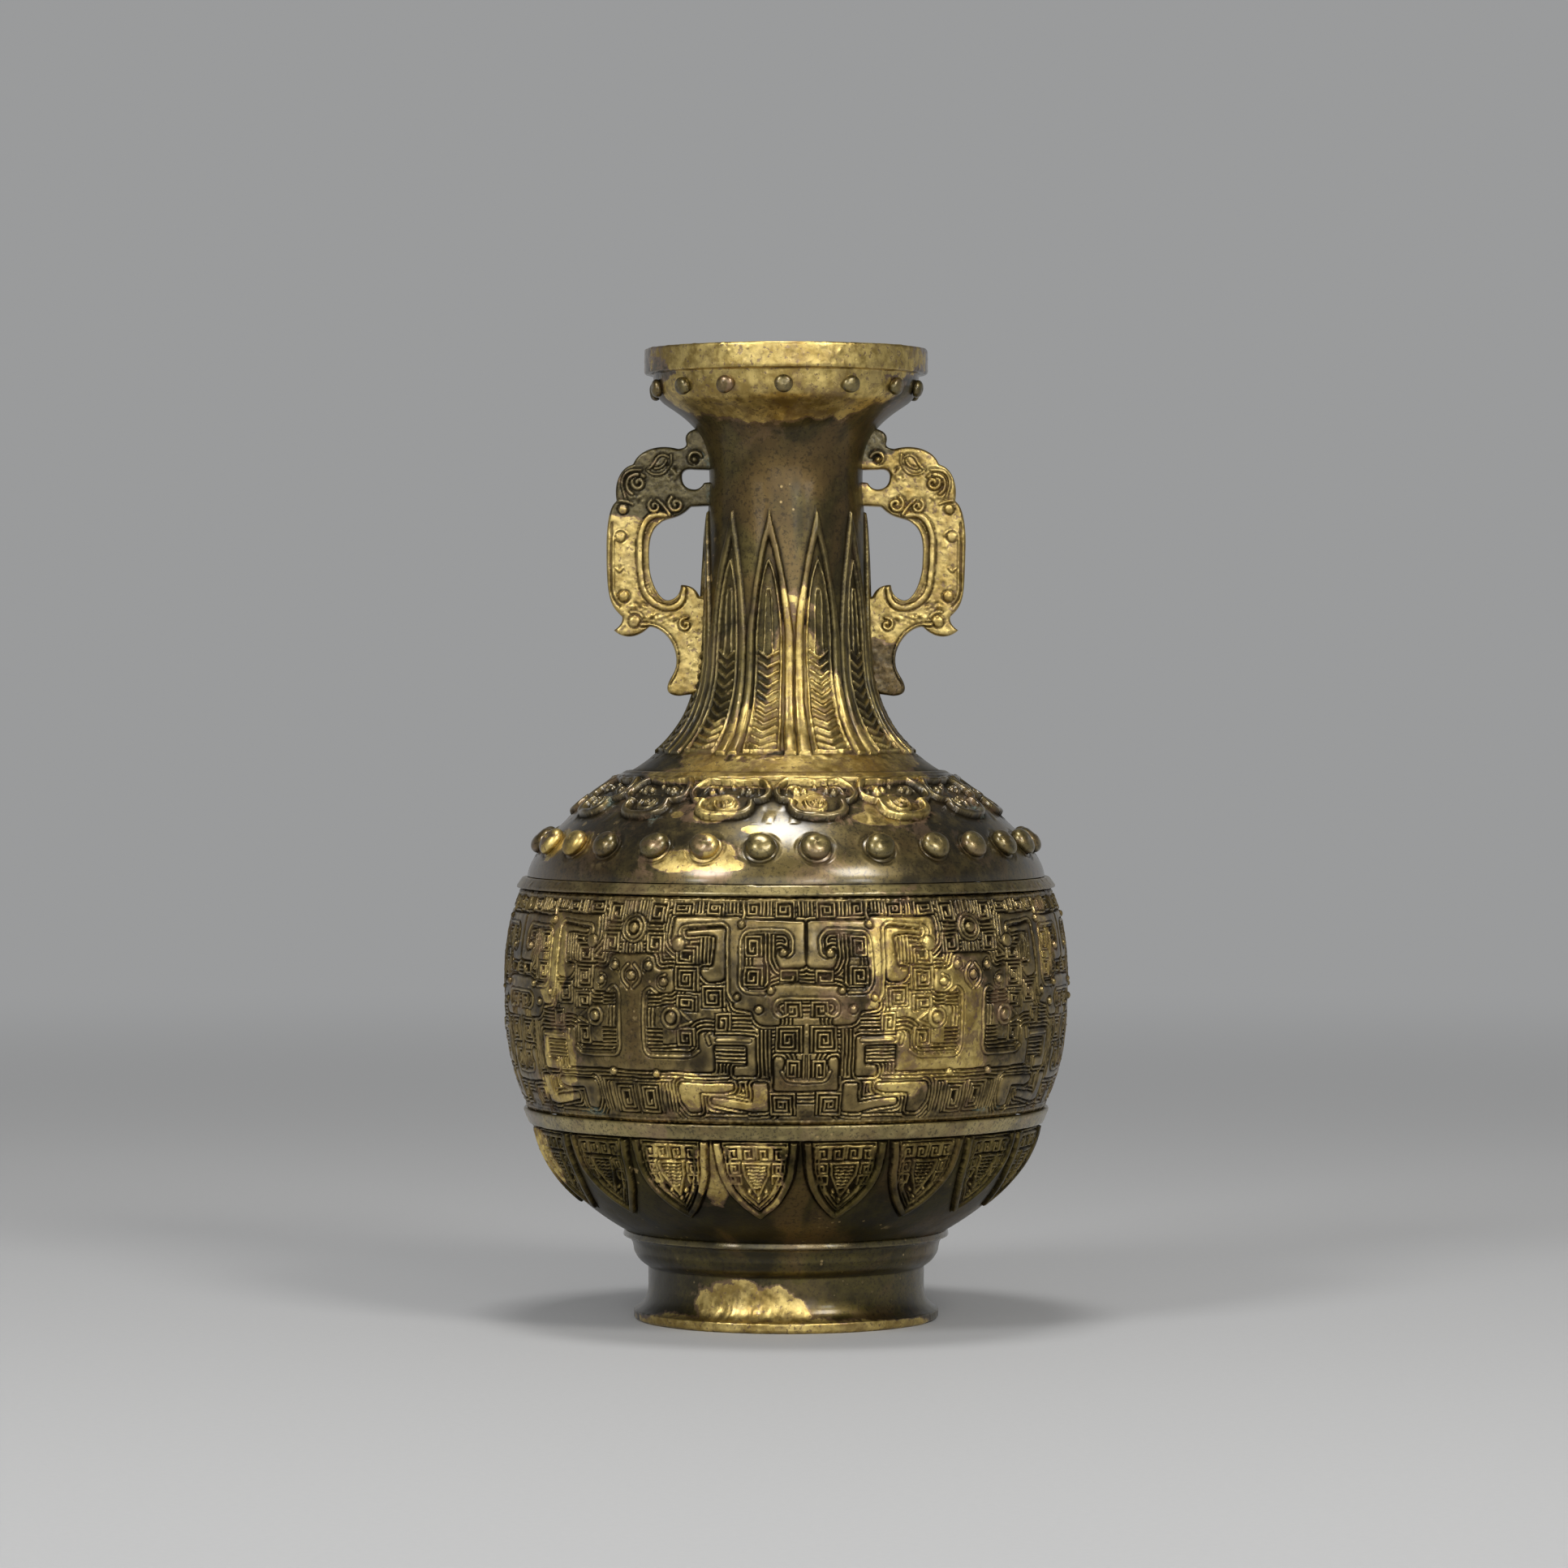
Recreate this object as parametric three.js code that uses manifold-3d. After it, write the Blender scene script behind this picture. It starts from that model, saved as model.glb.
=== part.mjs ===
// A gilt-splashed bronze vase in the archaistic taste: dish mouth, long neck with two
// open-work handles, round shoulder with studs, swelling belly and a stepped foot.
// Millimetres, +Z up, the middle of the foot's underside at the origin, front towards -Y.
import * as THREE from "three";
import { mergeVertices } from "three/addons/utils/BufferGeometryUtils.js";
import Module from "manifold-3d";

const wasm = await Module();
wasm.setup();

// Heights of the zones, from the table upwards.
const FOOT_HEIGHT = 21.3;
const BOWL_HEIGHT = 25.3;
const LOWER_BAND_HEIGHT = 4.0;
const BELLY_HEIGHT = 51.6;
const UPPER_BAND_HEIGHT = 3.0;
const SHOULDER_HEIGHT = 23.8;
const FLARE_HEIGHT = 27.0;
const NECK_HEIGHT = 42.0;
const CUP_HEIGHT = 20.2;
const STUD_WALL_HEIGHT = 5.8;
const RIM_HEIGHT = 6.0;

const BOWL_Z = FOOT_HEIGHT;
const LOWER_BAND_Z = BOWL_Z + BOWL_HEIGHT;
const BELLY_Z = LOWER_BAND_Z + LOWER_BAND_HEIGHT;
const UPPER_BAND_Z = BELLY_Z + BELLY_HEIGHT;
const SHOULDER_Z = UPPER_BAND_Z + UPPER_BAND_HEIGHT;
const COLLAR_Z = SHOULDER_Z + SHOULDER_HEIGHT;
const NECK_Z = COLLAR_Z + FLARE_HEIGHT;
const CUP_Z = NECK_Z + NECK_HEIGHT;
const STUD_WALL_Z = CUP_Z + CUP_HEIGHT;
const RIM_Z = STUD_WALL_Z + STUD_WALL_HEIGHT;
const TOP_Z = RIM_Z + RIM_HEIGHT;

// Radii of the outside.
const FOOT_RADIUS = 36.2;
const FOOT_NECK_RADIUS = 32.8;
const STEP_RADIUS = 38.2;
const BELLY_BOTTOM_RADIUS = 61.4;
const BOWL_SETBACK = 1.5;
const BOWL_RADIUS = BELLY_BOTTOM_RADIUS - BOWL_SETBACK;
const BELLY_RADIUS = 66.9;
const BELLY_TOP_RADIUS = 63.0;
const SHOULDER_SETBACK = 1.6;
const SHOULDER_RADIUS = BELLY_TOP_RADIUS - SHOULDER_SETBACK;
const COLLAR_RADIUS = 38.3;
const NECK_BOTTOM_RADIUS = 20.4;
const NECK_TOP_RADIUS = 18.2;
const CUP_RADIUS = 30.8;
const RECESS_LEAN = 0.8;
const RECESS_RADIUS = CUP_RADIUS + RECESS_LEAN;
const RIM_OVERHANG = 2.0;
const RIM_RADIUS = RECESS_RADIUS + RIM_OVERHANG;

// Walls and the fit between the castings.
const WALL = 3.0;
const FIT = 0.3;
const SPIGOT_HEIGHT = 3.2;
const SPIGOT_THICKNESS = 1.4;

// How each curve leaves its lower end and meets its upper end: a direction in degrees above
// the outward horizontal, and how far the curve is pulled along it.
const BOWL_CURVE = { leave: 29.7, leavePull: 10.7, meet: 81.3, meetPull: 11.2 };
const BELLY_LOW_CURVE = { leave: 64, leavePull: 9.5, meet: 90, meetPull: 13 };
const BELLY_HIGH_CURVE = { leave: 90, leavePull: 10, meet: 113, meetPull: 7 };
const SHOULDER_CURVE = { leave: 94, leavePull: 5.8, meet: 147.2, meetPull: 15.7 };
const FLARE_CURVE = { leave: 150, leavePull: 13, meet: 94.4, meetPull: 13 };
const CUP_CURVE = { leave: 92, leavePull: 11.5, meet: 30.6, meetPull: 10.2 };
const BELLY_WIDEST_HEIGHT = 28.9;
const BELLY_WIDEST_Z = BELLY_Z + BELLY_WIDEST_HEIGHT;

// Facets round the outside, and round the inside, which only the air touches.
const FACETS = 32;
const INSIDE_FACETS = 16;
const STUD_FACETS = 7;

// Outlines as lists of points: x is the radius and y the height.

const point = (radius, height) => new THREE.Vector2(radius, height);

function direction(degrees) {
  const angle = THREE.MathUtils.degToRad(degrees);
  return point(Math.cos(angle), Math.sin(angle));
}

// A swelling or hollow stretch between two points.
function curve(from, to, { leave, leavePull, meet, meetPull }, steps) {
  const first = from.clone().addScaledVector(direction(leave), leavePull);
  const second = to.clone().addScaledVector(direction(meet), -meetPull);
  return new THREE.CubicBezierCurve(from, first, second, to).getPoints(steps);
}

const bowlCurve = curve(
  point(STEP_RADIUS, BOWL_Z), point(BOWL_RADIUS, LOWER_BAND_Z), BOWL_CURVE, 5);
const bellyWidest = point(BELLY_RADIUS, BELLY_WIDEST_Z);
const bellyCurve = [
  ...curve(point(BELLY_BOTTOM_RADIUS, BELLY_Z), bellyWidest, BELLY_LOW_CURVE, 3),
  ...curve(bellyWidest, point(BELLY_TOP_RADIUS, UPPER_BAND_Z), BELLY_HIGH_CURVE, 3).slice(1),
];
const shoulderCurve = curve(
  point(SHOULDER_RADIUS, SHOULDER_Z), point(COLLAR_RADIUS, COLLAR_Z), SHOULDER_CURVE, 6);
const flareCurve = curve(
  point(COLLAR_RADIUS, COLLAR_Z), point(NECK_BOTTOM_RADIUS, NECK_Z), FLARE_CURVE, 5);
const cupCurve = curve(
  point(NECK_TOP_RADIUS, CUP_Z), point(CUP_RADIUS, STUD_WALL_Z), CUP_CURVE, 5);
const neckCurve = [...flareCurve, ...cupCurve];

// The same outline moved along its own normals, outwards for a positive distance.
function offset(points, distance) {
  return points.map((here, i) => {
    const before = points[Math.max(i - 1, 0)];
    const after = points[Math.min(i + 1, points.length - 1)];
    const along = after.clone().sub(before).normalize();
    return point(here.x + along.y * distance, here.y - along.x * distance);
  });
}

// Solids.

// How thin a sliver the booleans may leave before it's merged away.
const SLIVER = 0.05;

function solidOf(geometry) {
  const plain = geometry.clone();
  plain.deleteAttribute("normal");
  plain.deleteAttribute("uv");
  const merged = mergeVertices(plain, 1e-4);
  return new wasm.Manifold(new wasm.Mesh({
    numProp: 3,
    vertProperties: merged.attributes.position.array,
    triVerts: new Uint32Array(merged.index.array),
  }));
}

// A solid's geometry, without the slivers that the booleans leave in its faces.
function geometryOf(solid) {
  const { vertProperties, triVerts } = solid.asOriginal().simplify(SLIVER).getMesh();
  return new THREE.BufferGeometry()
    .setAttribute("position", new THREE.BufferAttribute(vertProperties, 3))
    .setIndex(new THREE.BufferAttribute(triVerts, 1));
}

// A solid of revolution about +Z from an outline that climbs, closed to the axis at both ends.
function turned(outline, facets = FACETS) {
  const first = outline[0];
  const last = outline[outline.length - 1];
  const closed = [point(0, first.y), ...outline, point(0, last.y)];
  return solidOf(new THREE.LatheGeometry(closed, facets).rotateX(Math.PI / 2));
}

// A hoop of revolution from an outline that closes on itself.
function hoop(outline) {
  const closed = [...outline, outline[0]];
  return new THREE.LatheGeometry(closed, FACETS).rotateX(Math.PI / 2);
}

function box(width, depth, height, x, y, z) {
  return solidOf(new THREE.BoxGeometry(width, depth, height).translate(x, y, z));
}

// The lap joints between the three castings.
// At each joint the lower casting's spigot stands inside the upper casting's socket, and a
// hoop covers the seam. The hoop sits on a ledge that is cut back to the seat radius.

const SEAT_DEPTH = 2.0;
const LOWER_SEAT = BELLY_BOTTOM_RADIUS - SEAT_DEPTH;
const UPPER_SEAT = BELLY_TOP_RADIUS - SEAT_DEPTH;

const seamHeight = (bandZ, bandHeight) => bandZ + bandHeight / 2;
const LOWER_SEAM = seamHeight(LOWER_BAND_Z, LOWER_BAND_HEIGHT);
const UPPER_SEAM = seamHeight(UPPER_BAND_Z, UPPER_BAND_HEIGHT);

const spigotInside = (seat) => seat - WALL;
const spigotOutside = (seat) => seat - WALL + SPIGOT_THICKNESS;

// The top of a lower casting, from the ledge up to the spigot's top.
function spigot(seat, bandZ, seam) {
  return [
    point(seat, bandZ),
    point(seat, seam),
    point(spigotOutside(seat), seam),
    point(spigotOutside(seat), seam + SPIGOT_HEIGHT),
  ];
}

// What the upper casting leaves free for that spigot.
function socket(seat, seam) {
  const radius = spigotOutside(seat) + FIT;
  return turned([point(radius, seam - 1), point(radius, seam + SPIGOT_HEIGHT + FIT)]);
}

// Foot and bowl, one casting.

const FOOT_BAND_HEIGHT = 2.3;
const FOOT_WAIST_Z = 8.4;
const FOOT_FLARE_PULL = 1.3;
const OVOLO_Z = 12.6;
const OVOLO_HEIGHT = 4.0;
const OVOLO_RADIUS = 36.2;
const OVOLO_PULL = point(-0.8, 1.6);
const STEP_SLOPE = 0.4;
const STEP_BOTTOM_Z = 18.8;
const STEP_EDGE_Z = 20.2;
const FOOT_BORE_RADIUS = 30.0;
const PLATE_THICKNESS = 2.5;
const LEDGE_Z = 17.0;
const LEDGE_RADIUS = 26.0;
const FLOOR_Z = 20.4;

function footOutline() {
  const flare = new THREE.QuadraticBezierCurve(
    point(FOOT_RADIUS, FOOT_BAND_HEIGHT),
    point(FOOT_NECK_RADIUS, FOOT_BAND_HEIGHT + FOOT_FLARE_PULL),
    point(FOOT_NECK_RADIUS, FOOT_WAIST_Z),
  );
  const ovolo = new THREE.QuadraticBezierCurve(
    point(FOOT_NECK_RADIUS, OVOLO_Z),
    point(OVOLO_RADIUS, OVOLO_Z).add(OVOLO_PULL),
    point(OVOLO_RADIUS, OVOLO_Z + OVOLO_HEIGHT),
  );
  return [
    point(FOOT_RADIUS, 0),
    ...flare.getPoints(3),
    ...ovolo.getPoints(3),
    point(OVOLO_RADIUS + STEP_SLOPE, STEP_BOTTOM_Z),
    point(STEP_RADIUS, STEP_EDGE_Z),
  ];
}

function footAndBowl() {
  const outside = turned([
    ...footOutline(), ...bowlCurve, ...spigot(LOWER_SEAT, LOWER_BAND_Z, LOWER_SEAM)]);
  const inside = turned([
    point(LEDGE_RADIUS, LEDGE_Z - 1),
    point(LEDGE_RADIUS, FLOOR_Z),
    ...offset(bowlCurve, -WALL).slice(0, -1),
    point(spigotInside(LOWER_SEAT), LOWER_BAND_Z),
    point(spigotInside(LOWER_SEAT), BELLY_Z + SPIGOT_HEIGHT),
  ], INSIDE_FACETS);
  const bore = turned([point(FOOT_BORE_RADIUS, -1), point(FOOT_BORE_RADIUS, LEDGE_Z)]);
  return outside.subtract(inside).subtract(bore).add(lappets());
}

// The plate that closes the vessel, let into the foot from below against the ledge.
function basePlate() {
  const radius = FOOT_BORE_RADIUS - FIT;
  const top = LEDGE_Z - FIT;
  return turned([point(radius, top - PLATE_THICKNESS), point(radius, top)]);
}

// Belly, one casting.

function belly() {
  const outside = turned([
    point(LOWER_SEAT, LOWER_SEAM + FIT),
    point(LOWER_SEAT, BELLY_Z),
    ...bellyCurve,
    ...spigot(UPPER_SEAT, UPPER_BAND_Z, UPPER_SEAM),
  ]);
  const inside = turned([
    point(spigotInside(LOWER_SEAT), LOWER_SEAM - 1),
    point(spigotInside(LOWER_SEAT), LOWER_SEAM + SPIGOT_HEIGHT + WALL / 2),
    ...offset(bellyCurve, -WALL).slice(1, -1),
    point(spigotInside(UPPER_SEAT), UPPER_BAND_Z - WALL / 2),
    point(spigotInside(UPPER_SEAT), SHOULDER_Z + SPIGOT_HEIGHT),
  ], INSIDE_FACETS);
  return outside.subtract(inside).subtract(socket(LOWER_SEAT, LOWER_SEAM));
}

// Shoulder, neck and mouth, one casting.

const RIM_WIDTH = 3.2;
const RIM_ROUND = 0.7;

function rimOutline() {
  return [
    point(RECESS_RADIUS, RIM_Z),
    point(RIM_RADIUS - RIM_ROUND, RIM_Z),
    point(RIM_RADIUS, RIM_Z + RIM_ROUND),
    point(RIM_RADIUS, TOP_Z - RIM_ROUND),
    point(RIM_RADIUS - RIM_ROUND, TOP_Z),
  ];
}

function shoulderAndNeck() {
  const outside = turned([
    point(UPPER_SEAT, UPPER_SEAM + FIT),
    point(UPPER_SEAT, SHOULDER_Z),
    ...shoulderCurve,
    ...neckCurve.slice(1),
    ...rimOutline(),
  ]);
  const inside = turned([
    point(spigotInside(UPPER_SEAT), UPPER_SEAM - 1),
    point(spigotInside(UPPER_SEAT), UPPER_SEAM + SPIGOT_HEIGHT + WALL / 2),
    ...offset(shoulderCurve, -WALL).slice(1, -1),
    ...offset(neckCurve, -WALL),
    point(RIM_RADIUS - RIM_WIDTH, TOP_Z),
    point(RIM_RADIUS - RIM_WIDTH, TOP_Z + 1),
  ], INSIDE_FACETS);
  const relief = wasm.Manifold.union([leaves(), cloudHeads()])
    .subtract(handlePads());
  return outside.add(relief).subtract(inside)
    .subtract(socket(UPPER_SEAT, UPPER_SEAM))
    .subtract(mortises());
}

// The hoops over the two seams.

const LOWER_HOOP_PROUD = 1.0;
const UPPER_HOOP_PROUD = 0.9;
const LOWER_HOOP_RADIUS = BELLY_BOTTOM_RADIUS + LOWER_HOOP_PROUD;
const UPPER_HOOP_RADIUS = BELLY_TOP_RADIUS + UPPER_HOOP_PROUD;
const HOOP_TAPER = 1.3;
const HOOP_LIP = 0.5;

// Its face leans in towards the bottom.
function lowerHoop() {
  const inside = LOWER_SEAT + FIT;
  const bottom = LOWER_BAND_Z + FIT;
  const top = BELLY_Z - FIT;
  return hoop([
    point(inside, bottom),
    point(LOWER_HOOP_RADIUS - HOOP_TAPER, bottom),
    point(LOWER_HOOP_RADIUS, top - HOOP_LIP),
    point(LOWER_HOOP_RADIUS, top),
    point(inside, top),
  ]);
}

// Its face leans in towards the top, and its sharp lower edge overhangs the belly.
function upperHoop() {
  const inside = UPPER_SEAT + FIT;
  const bottom = UPPER_BAND_Z + FIT;
  const top = SHOULDER_Z - FIT;
  return hoop([
    point(inside, bottom),
    point(UPPER_HOOP_RADIUS, bottom),
    point(UPPER_HOOP_RADIUS, bottom + HOOP_LIP),
    point(UPPER_HOOP_RADIUS - HOOP_TAPER, top),
    point(inside, top),
  ]);
}

// Cast relief, bent onto the outside.

const RELIEF_RAISE = 0.9;
const RELIEF_ROOT = 1.2;

// Lengths along an outline, from its first point.
function lengthsAlong(outline) {
  const lengths = [0];
  for (let i = 1; i < outline.length; i++)
    lengths.push(lengths[i - 1] + outline[i].distanceTo(outline[i - 1]));
  return lengths;
}

// The point of an outline at a length along it, and its outward normal there.
function pointAt(outline, lengths, length) {
  let i = 1;
  while (i < outline.length - 1 && lengths[i] < length) i++;
  const share = (length - lengths[i - 1]) / (lengths[i] - lengths[i - 1]);
  const along = outline[i].clone().sub(outline[i - 1]).normalize();
  return {
    at: outline[i - 1].clone().lerp(outline[i], share),
    normal: point(along.y, -along.x),
  };
}

// The length along an outline at which it reaches a height.
function lengthAtHeight(outline, height) {
  const lengths = lengthsAlong(outline);
  let i = 1;
  while (i < outline.length - 1 && outline[i].y < height) i++;
  const share = (height - outline[i - 1].y) / (outline[i].y - outline[i - 1].y);
  return lengths[i - 1] + share * (lengths[i] - lengths[i - 1]);
}

// Puts a radius and height at an angle from the front, turning towards +X.
function around(degrees, radius, height) {
  const angle = THREE.MathUtils.degToRad(degrees);
  return new THREE.Vector3(radius * Math.sin(angle), -radius * Math.cos(angle), height);
}

// A raised border between two loops with as many points each, whose x is in degrees round the
// vase and whose y is in millimetres along an outline. It's rooted in the wall and stands proud.
function raisedBorder(outer, inner, outline, degrees) {
  const lengths = lengthsAlong(outline);
  const lifted = ({ x, y }, height) => {
    const { at, normal } = pointAt(outline, lengths, y);
    at.addScaledVector(normal, height);
    return around(degrees + x, at.x, at.y).toArray();
  };
  const positions = outer.flatMap((here, i) => [
    lifted(here, -RELIEF_ROOT), lifted(here, RELIEF_RAISE),
    lifted(inner[i], RELIEF_RAISE), lifted(inner[i], -RELIEF_ROOT)].flat());
  const index = [];
  for (let i = 0; i < outer.length; i++)
    for (let side = 0; side < 4; side++) {
      const next = ((i + 1) % outer.length) * 4;
      const [near, nearBeside] = [i * 4 + side, i * 4 + ((side + 1) % 4)];
      const [far, farBeside] = [next + side, next + ((side + 1) % 4)];
      index.push(near, far, farBeside, near, farBeside, nearBeside);
    }
  return solidOf(new THREE.BufferGeometry()
    .setAttribute("position", new THREE.Float32BufferAttribute(positions, 3))
    .setIndex(index));
}

// The points of a loop, each once.
const loopPoints = (path, steps) => path.getPoints(steps).slice(0, -1);

// Copies of a raised border round the vase.
function bordersRound(outer, inner, outline, angles) {
  return wasm.Manifold.union(
    angles.map((degrees) => raisedBorder(outer, inner, outline, degrees)));
}

const evenAngles = (count, phase) =>
  Array.from({ length: count }, (_, i) => phase + (i * 360) / count);

// Angles round the vase: those seen from the front, then the rest evenly spread behind.
function anglesRound(seen, count) {
  const last = seen[seen.length - 1];
  const hidden = count - seen.length;
  const step = (360 - (last - seen[0])) / (hidden + 1);
  const behind = Array.from({ length: hidden }, (_, i) => last + (i + 1) * step);
  return [...seen, ...behind];
}

// Pointed leaves that stand up the neck, their borders side by side at the foot of the neck.
const LEAF_ANGLES = anglesRound([-80, -42, -12, 22.5, 54, 86], 11);
const LEAF_BOTTOM_Z = COLLAR_Z + 5.2;
const LEAF_SHOULDER_Z = LEAF_BOTTOM_Z + 27;
const LEAF_TIP_Z = LEAF_BOTTOM_Z + 57.5;
const LEAF_HALF_ANGLE = 14.6;
const LEAF_BORDER_ANGLE = 4.6;
const LEAF_BORDER_HEIGHT = 1.6;
const LEAF_TIP_BORDER = 7;

function leafLoop(bottom, shoulder, tip, half) {
  const path = new THREE.Path();
  const bend = shoulder * 0.55 + tip * 0.45;
  path.moveTo(-half, bottom);
  path.lineTo(half, bottom);
  for (const share of [0.25, 0.6, 1])
    path.lineTo(half, bottom + (shoulder - bottom) * share);
  path.quadraticCurveTo(half * 0.85, bend, 0, tip);
  path.quadraticCurveTo(-half * 0.85, bend, -half, shoulder);
  for (const share of [0.6, 0.25, 0])
    path.lineTo(-half, bottom + (shoulder - bottom) * share);
  return loopPoints(path, 2);
}

function leaves() {
  const at = (height) => lengthAtHeight(neckCurve, height);
  const outer = leafLoop(
    at(LEAF_BOTTOM_Z), at(LEAF_SHOULDER_Z), at(LEAF_TIP_Z), LEAF_HALF_ANGLE);
  const inner = leafLoop(
    at(LEAF_BOTTOM_Z) + LEAF_BORDER_HEIGHT, at(LEAF_SHOULDER_Z),
    at(LEAF_TIP_Z) - LEAF_TIP_BORDER, LEAF_HALF_ANGLE - LEAF_BORDER_ANGLE);
  return bordersRound(outer, inner, neckCurve, LEAF_ANGLES);
}

// Cloud heads that hang from the collar: two lobes above and a larger one below.
const CLOUD_HEAD_COUNT = 14;
const CLOUD_HEAD_PHASE = 8.9;
const CLOUD_HEAD_LENGTH = 15.6;
const CLOUD_HEAD_TOP = 1.2;
const CLOUD_HEAD_HALF_ANGLE = 12.2;
const CLOUD_LOBE_HALF_ANGLE = 8.4;
const CLOUD_NOTCH_HALF_ANGLE = 7.0;
const CLOUD_BORDER_ANGLE = 1.9;
const CLOUD_BORDER = 1.5;

function cloudLoop(top, bottom, inset) {
  const path = new THREE.Path();
  const notch = top - (top - bottom) * 0.47;
  const wide = CLOUD_HEAD_HALF_ANGLE - inset;
  const lobe = CLOUD_LOBE_HALF_ANGLE - inset;
  const neck = CLOUD_NOTCH_HALF_ANGLE - inset;
  path.moveTo(0, bottom);
  path.bezierCurveTo(lobe * 0.7, bottom, lobe, (bottom + notch) / 2, neck, notch);
  path.bezierCurveTo(wide, notch - 0.3, wide + 0.6, (notch + top) / 2, wide * 0.6, top);
  path.lineTo(0, top - 0.7);
  path.lineTo(-wide * 0.6, top);
  path.bezierCurveTo(-wide - 0.6, (notch + top) / 2, -wide, notch - 0.3, -neck, notch);
  path.bezierCurveTo(-lobe, (bottom + notch) / 2, -lobe * 0.7, bottom, 0, bottom);
  return loopPoints(path, 2);
}

function cloudHeads() {
  const top = lengthsAlong(shoulderCurve).at(-1) - CLOUD_HEAD_TOP;
  const bottom = top - CLOUD_HEAD_LENGTH;
  const outer = cloudLoop(top, bottom, 0);
  const inner = cloudLoop(top - CLOUD_BORDER, bottom + CLOUD_BORDER, CLOUD_BORDER_ANGLE);
  return bordersRound(
    outer, inner, shoulderCurve, evenAngles(CLOUD_HEAD_COUNT, CLOUD_HEAD_PHASE));
}

// Lappets that hang from the lower hoop over the bowl.
const LAPPET_COUNT = 18;
const LAPPET_PHASE = 13.2;
const LAPPET_LENGTH = 22.2;
const LAPPET_HALF_ANGLE = 9.3;
const LAPPET_BORDER_ANGLE = 1.4;
const LAPPET_BORDER = 1.4;
const LAPPET_TIP_BORDER = 2.6;

function lappetLoop(top, bottom, half) {
  const path = new THREE.Path();
  const side = top - (top - bottom) * 0.36;
  const turn = top - (top - bottom) * 0.72;
  path.moveTo(-half, top);
  path.lineTo(-half * 0.92, side);
  path.quadraticCurveTo(-half * 0.74, turn, 0, bottom);
  path.quadraticCurveTo(half * 0.74, turn, half * 0.92, side);
  path.lineTo(half, top);
  path.lineTo(0, top);
  path.closePath();
  return loopPoints(path, 3);
}

function lappets() {
  const top = lengthsAlong(bowlCurve).at(-1) - FIT;
  const bottom = top - LAPPET_LENGTH;
  const outer = lappetLoop(top, bottom, LAPPET_HALF_ANGLE);
  const inner = lappetLoop(top - LAPPET_BORDER, bottom + LAPPET_TIP_BORDER,
    LAPPET_HALF_ANGLE - LAPPET_BORDER_ANGLE);
  return bordersRound(outer, inner, bowlCurve, evenAngles(LAPPET_COUNT, LAPPET_PHASE));
}

// Handles: flat open-work beasts, their heads bent to the neck.
// One is drawn in its own plane in hundredths of its height: x out from the neck, and y up.

const HANDLE_HEIGHT = 63.6;
const HUNDREDTH = HANDLE_HEIGHT / 100;
const HANDLE_THICKNESS = 6.0;
const HANDLE_EDGE = 0.7;
const HANDLE_RELIEF = 0.5;
const TENON_THICKNESS = 3.0;
const TENON_DEPTH = WALL - FIT;
const HANDLE_DROP = 6.8;
const HANDLE_Z = STUD_WALL_Z - HANDLE_DROP - HANDLE_HEIGHT;
const UPPER_TENON = { z: HANDLE_Z + 90.9 * HUNDREDTH, height: 5.0 };
const LOWER_TENON = { z: HANDLE_Z + 16.5 * HUNDREDTH, height: 14.0 };
const TENONS = [UPPER_TENON, LOWER_TENON];

// The beast's back, from its crest at the neck, round the head and down to the tail.
function handleOutline() {
  const shape = new THREE.Shape();
  shape.moveTo(-9.7, 96.2);
  shape.lineTo(3.8, 100);
  shape.quadraticCurveTo(10.1, 98.7, 8.8, 94.7);
  shape.quadraticCurveTo(7.9, 92.5, 11.6, 92.1);
  shape.bezierCurveTo(19.3, 94.3, 26.7, 91.5, 28.3, 86.3);
  shape.bezierCurveTo(33, 85.5, 35.8, 78.9, 34.6, 72.6);
  shape.bezierCurveTo(38.7, 70.4, 38.4, 58.2, 38.2, 53.5);
  shape.bezierCurveTo(38.2, 37.7, 38.1, 34.3, 32.5, 29.6);
  shape.quadraticCurveTo(32.1, 26.7, 35.5, 24.5);
  shape.bezierCurveTo(31.8, 20.8, 26.1, 21.7, 22.3, 25.9);
  shape.bezierCurveTo(14.8, 25.2, 9.4, 14.8, 13.8, 7.9);
  shape.quadraticCurveTo(18.9, 0.3, 11.3, 0);
  shape.lineTo(-9.7, 2.5);
  shape.closePath();
  return shape;
}

// The large opening for the fingers, with the hooked tongue that stands up into it.
function fingerGap() {
  const gap = new THREE.Path();
  gap.moveTo(-9.7, 71.1);
  gap.lineTo(7.1, 70.6);
  gap.bezierCurveTo(11.6, 65.4, 16, 67, 18.6, 64.5);
  gap.bezierCurveTo(23.3, 61.3, 22.3, 53.5, 22.3, 48.7);
  gap.bezierCurveTo(22, 42.5, 18.9, 35.5, 15.4, 35.7);
  gap.quadraticCurveTo(11, 36.5, 10.7, 41.5);
  gap.quadraticCurveTo(5.3, 41.5, 3.8, 37.1);
  gap.lineTo(-9.7, 36.2);
  gap.closePath();
  return gap;
}

// The small opening between the trunk and the lower lip.
function mouthGap() {
  const gap = new THREE.Path();
  gap.moveTo(-9.7, 84.3);
  gap.lineTo(5.3, 84.4);
  gap.quadraticCurveTo(10.4, 85.2, 10.1, 81.4);
  gap.quadraticCurveTo(9.7, 77, 5.3, 77);
  gap.quadraticCurveTo(3.1, 77.2, 1.9, 79.6);
  gap.lineTo(-9.7, 79.9);
  gap.closePath();
  return gap;
}

// A band of even width along a centre line, as a flat shape.
function ribbon(points, width) {
  const left = offset(points, -width / 2);
  const right = offset(points, width / 2).reverse();
  return new THREE.Shape([...left, ...right]);
}

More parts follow.
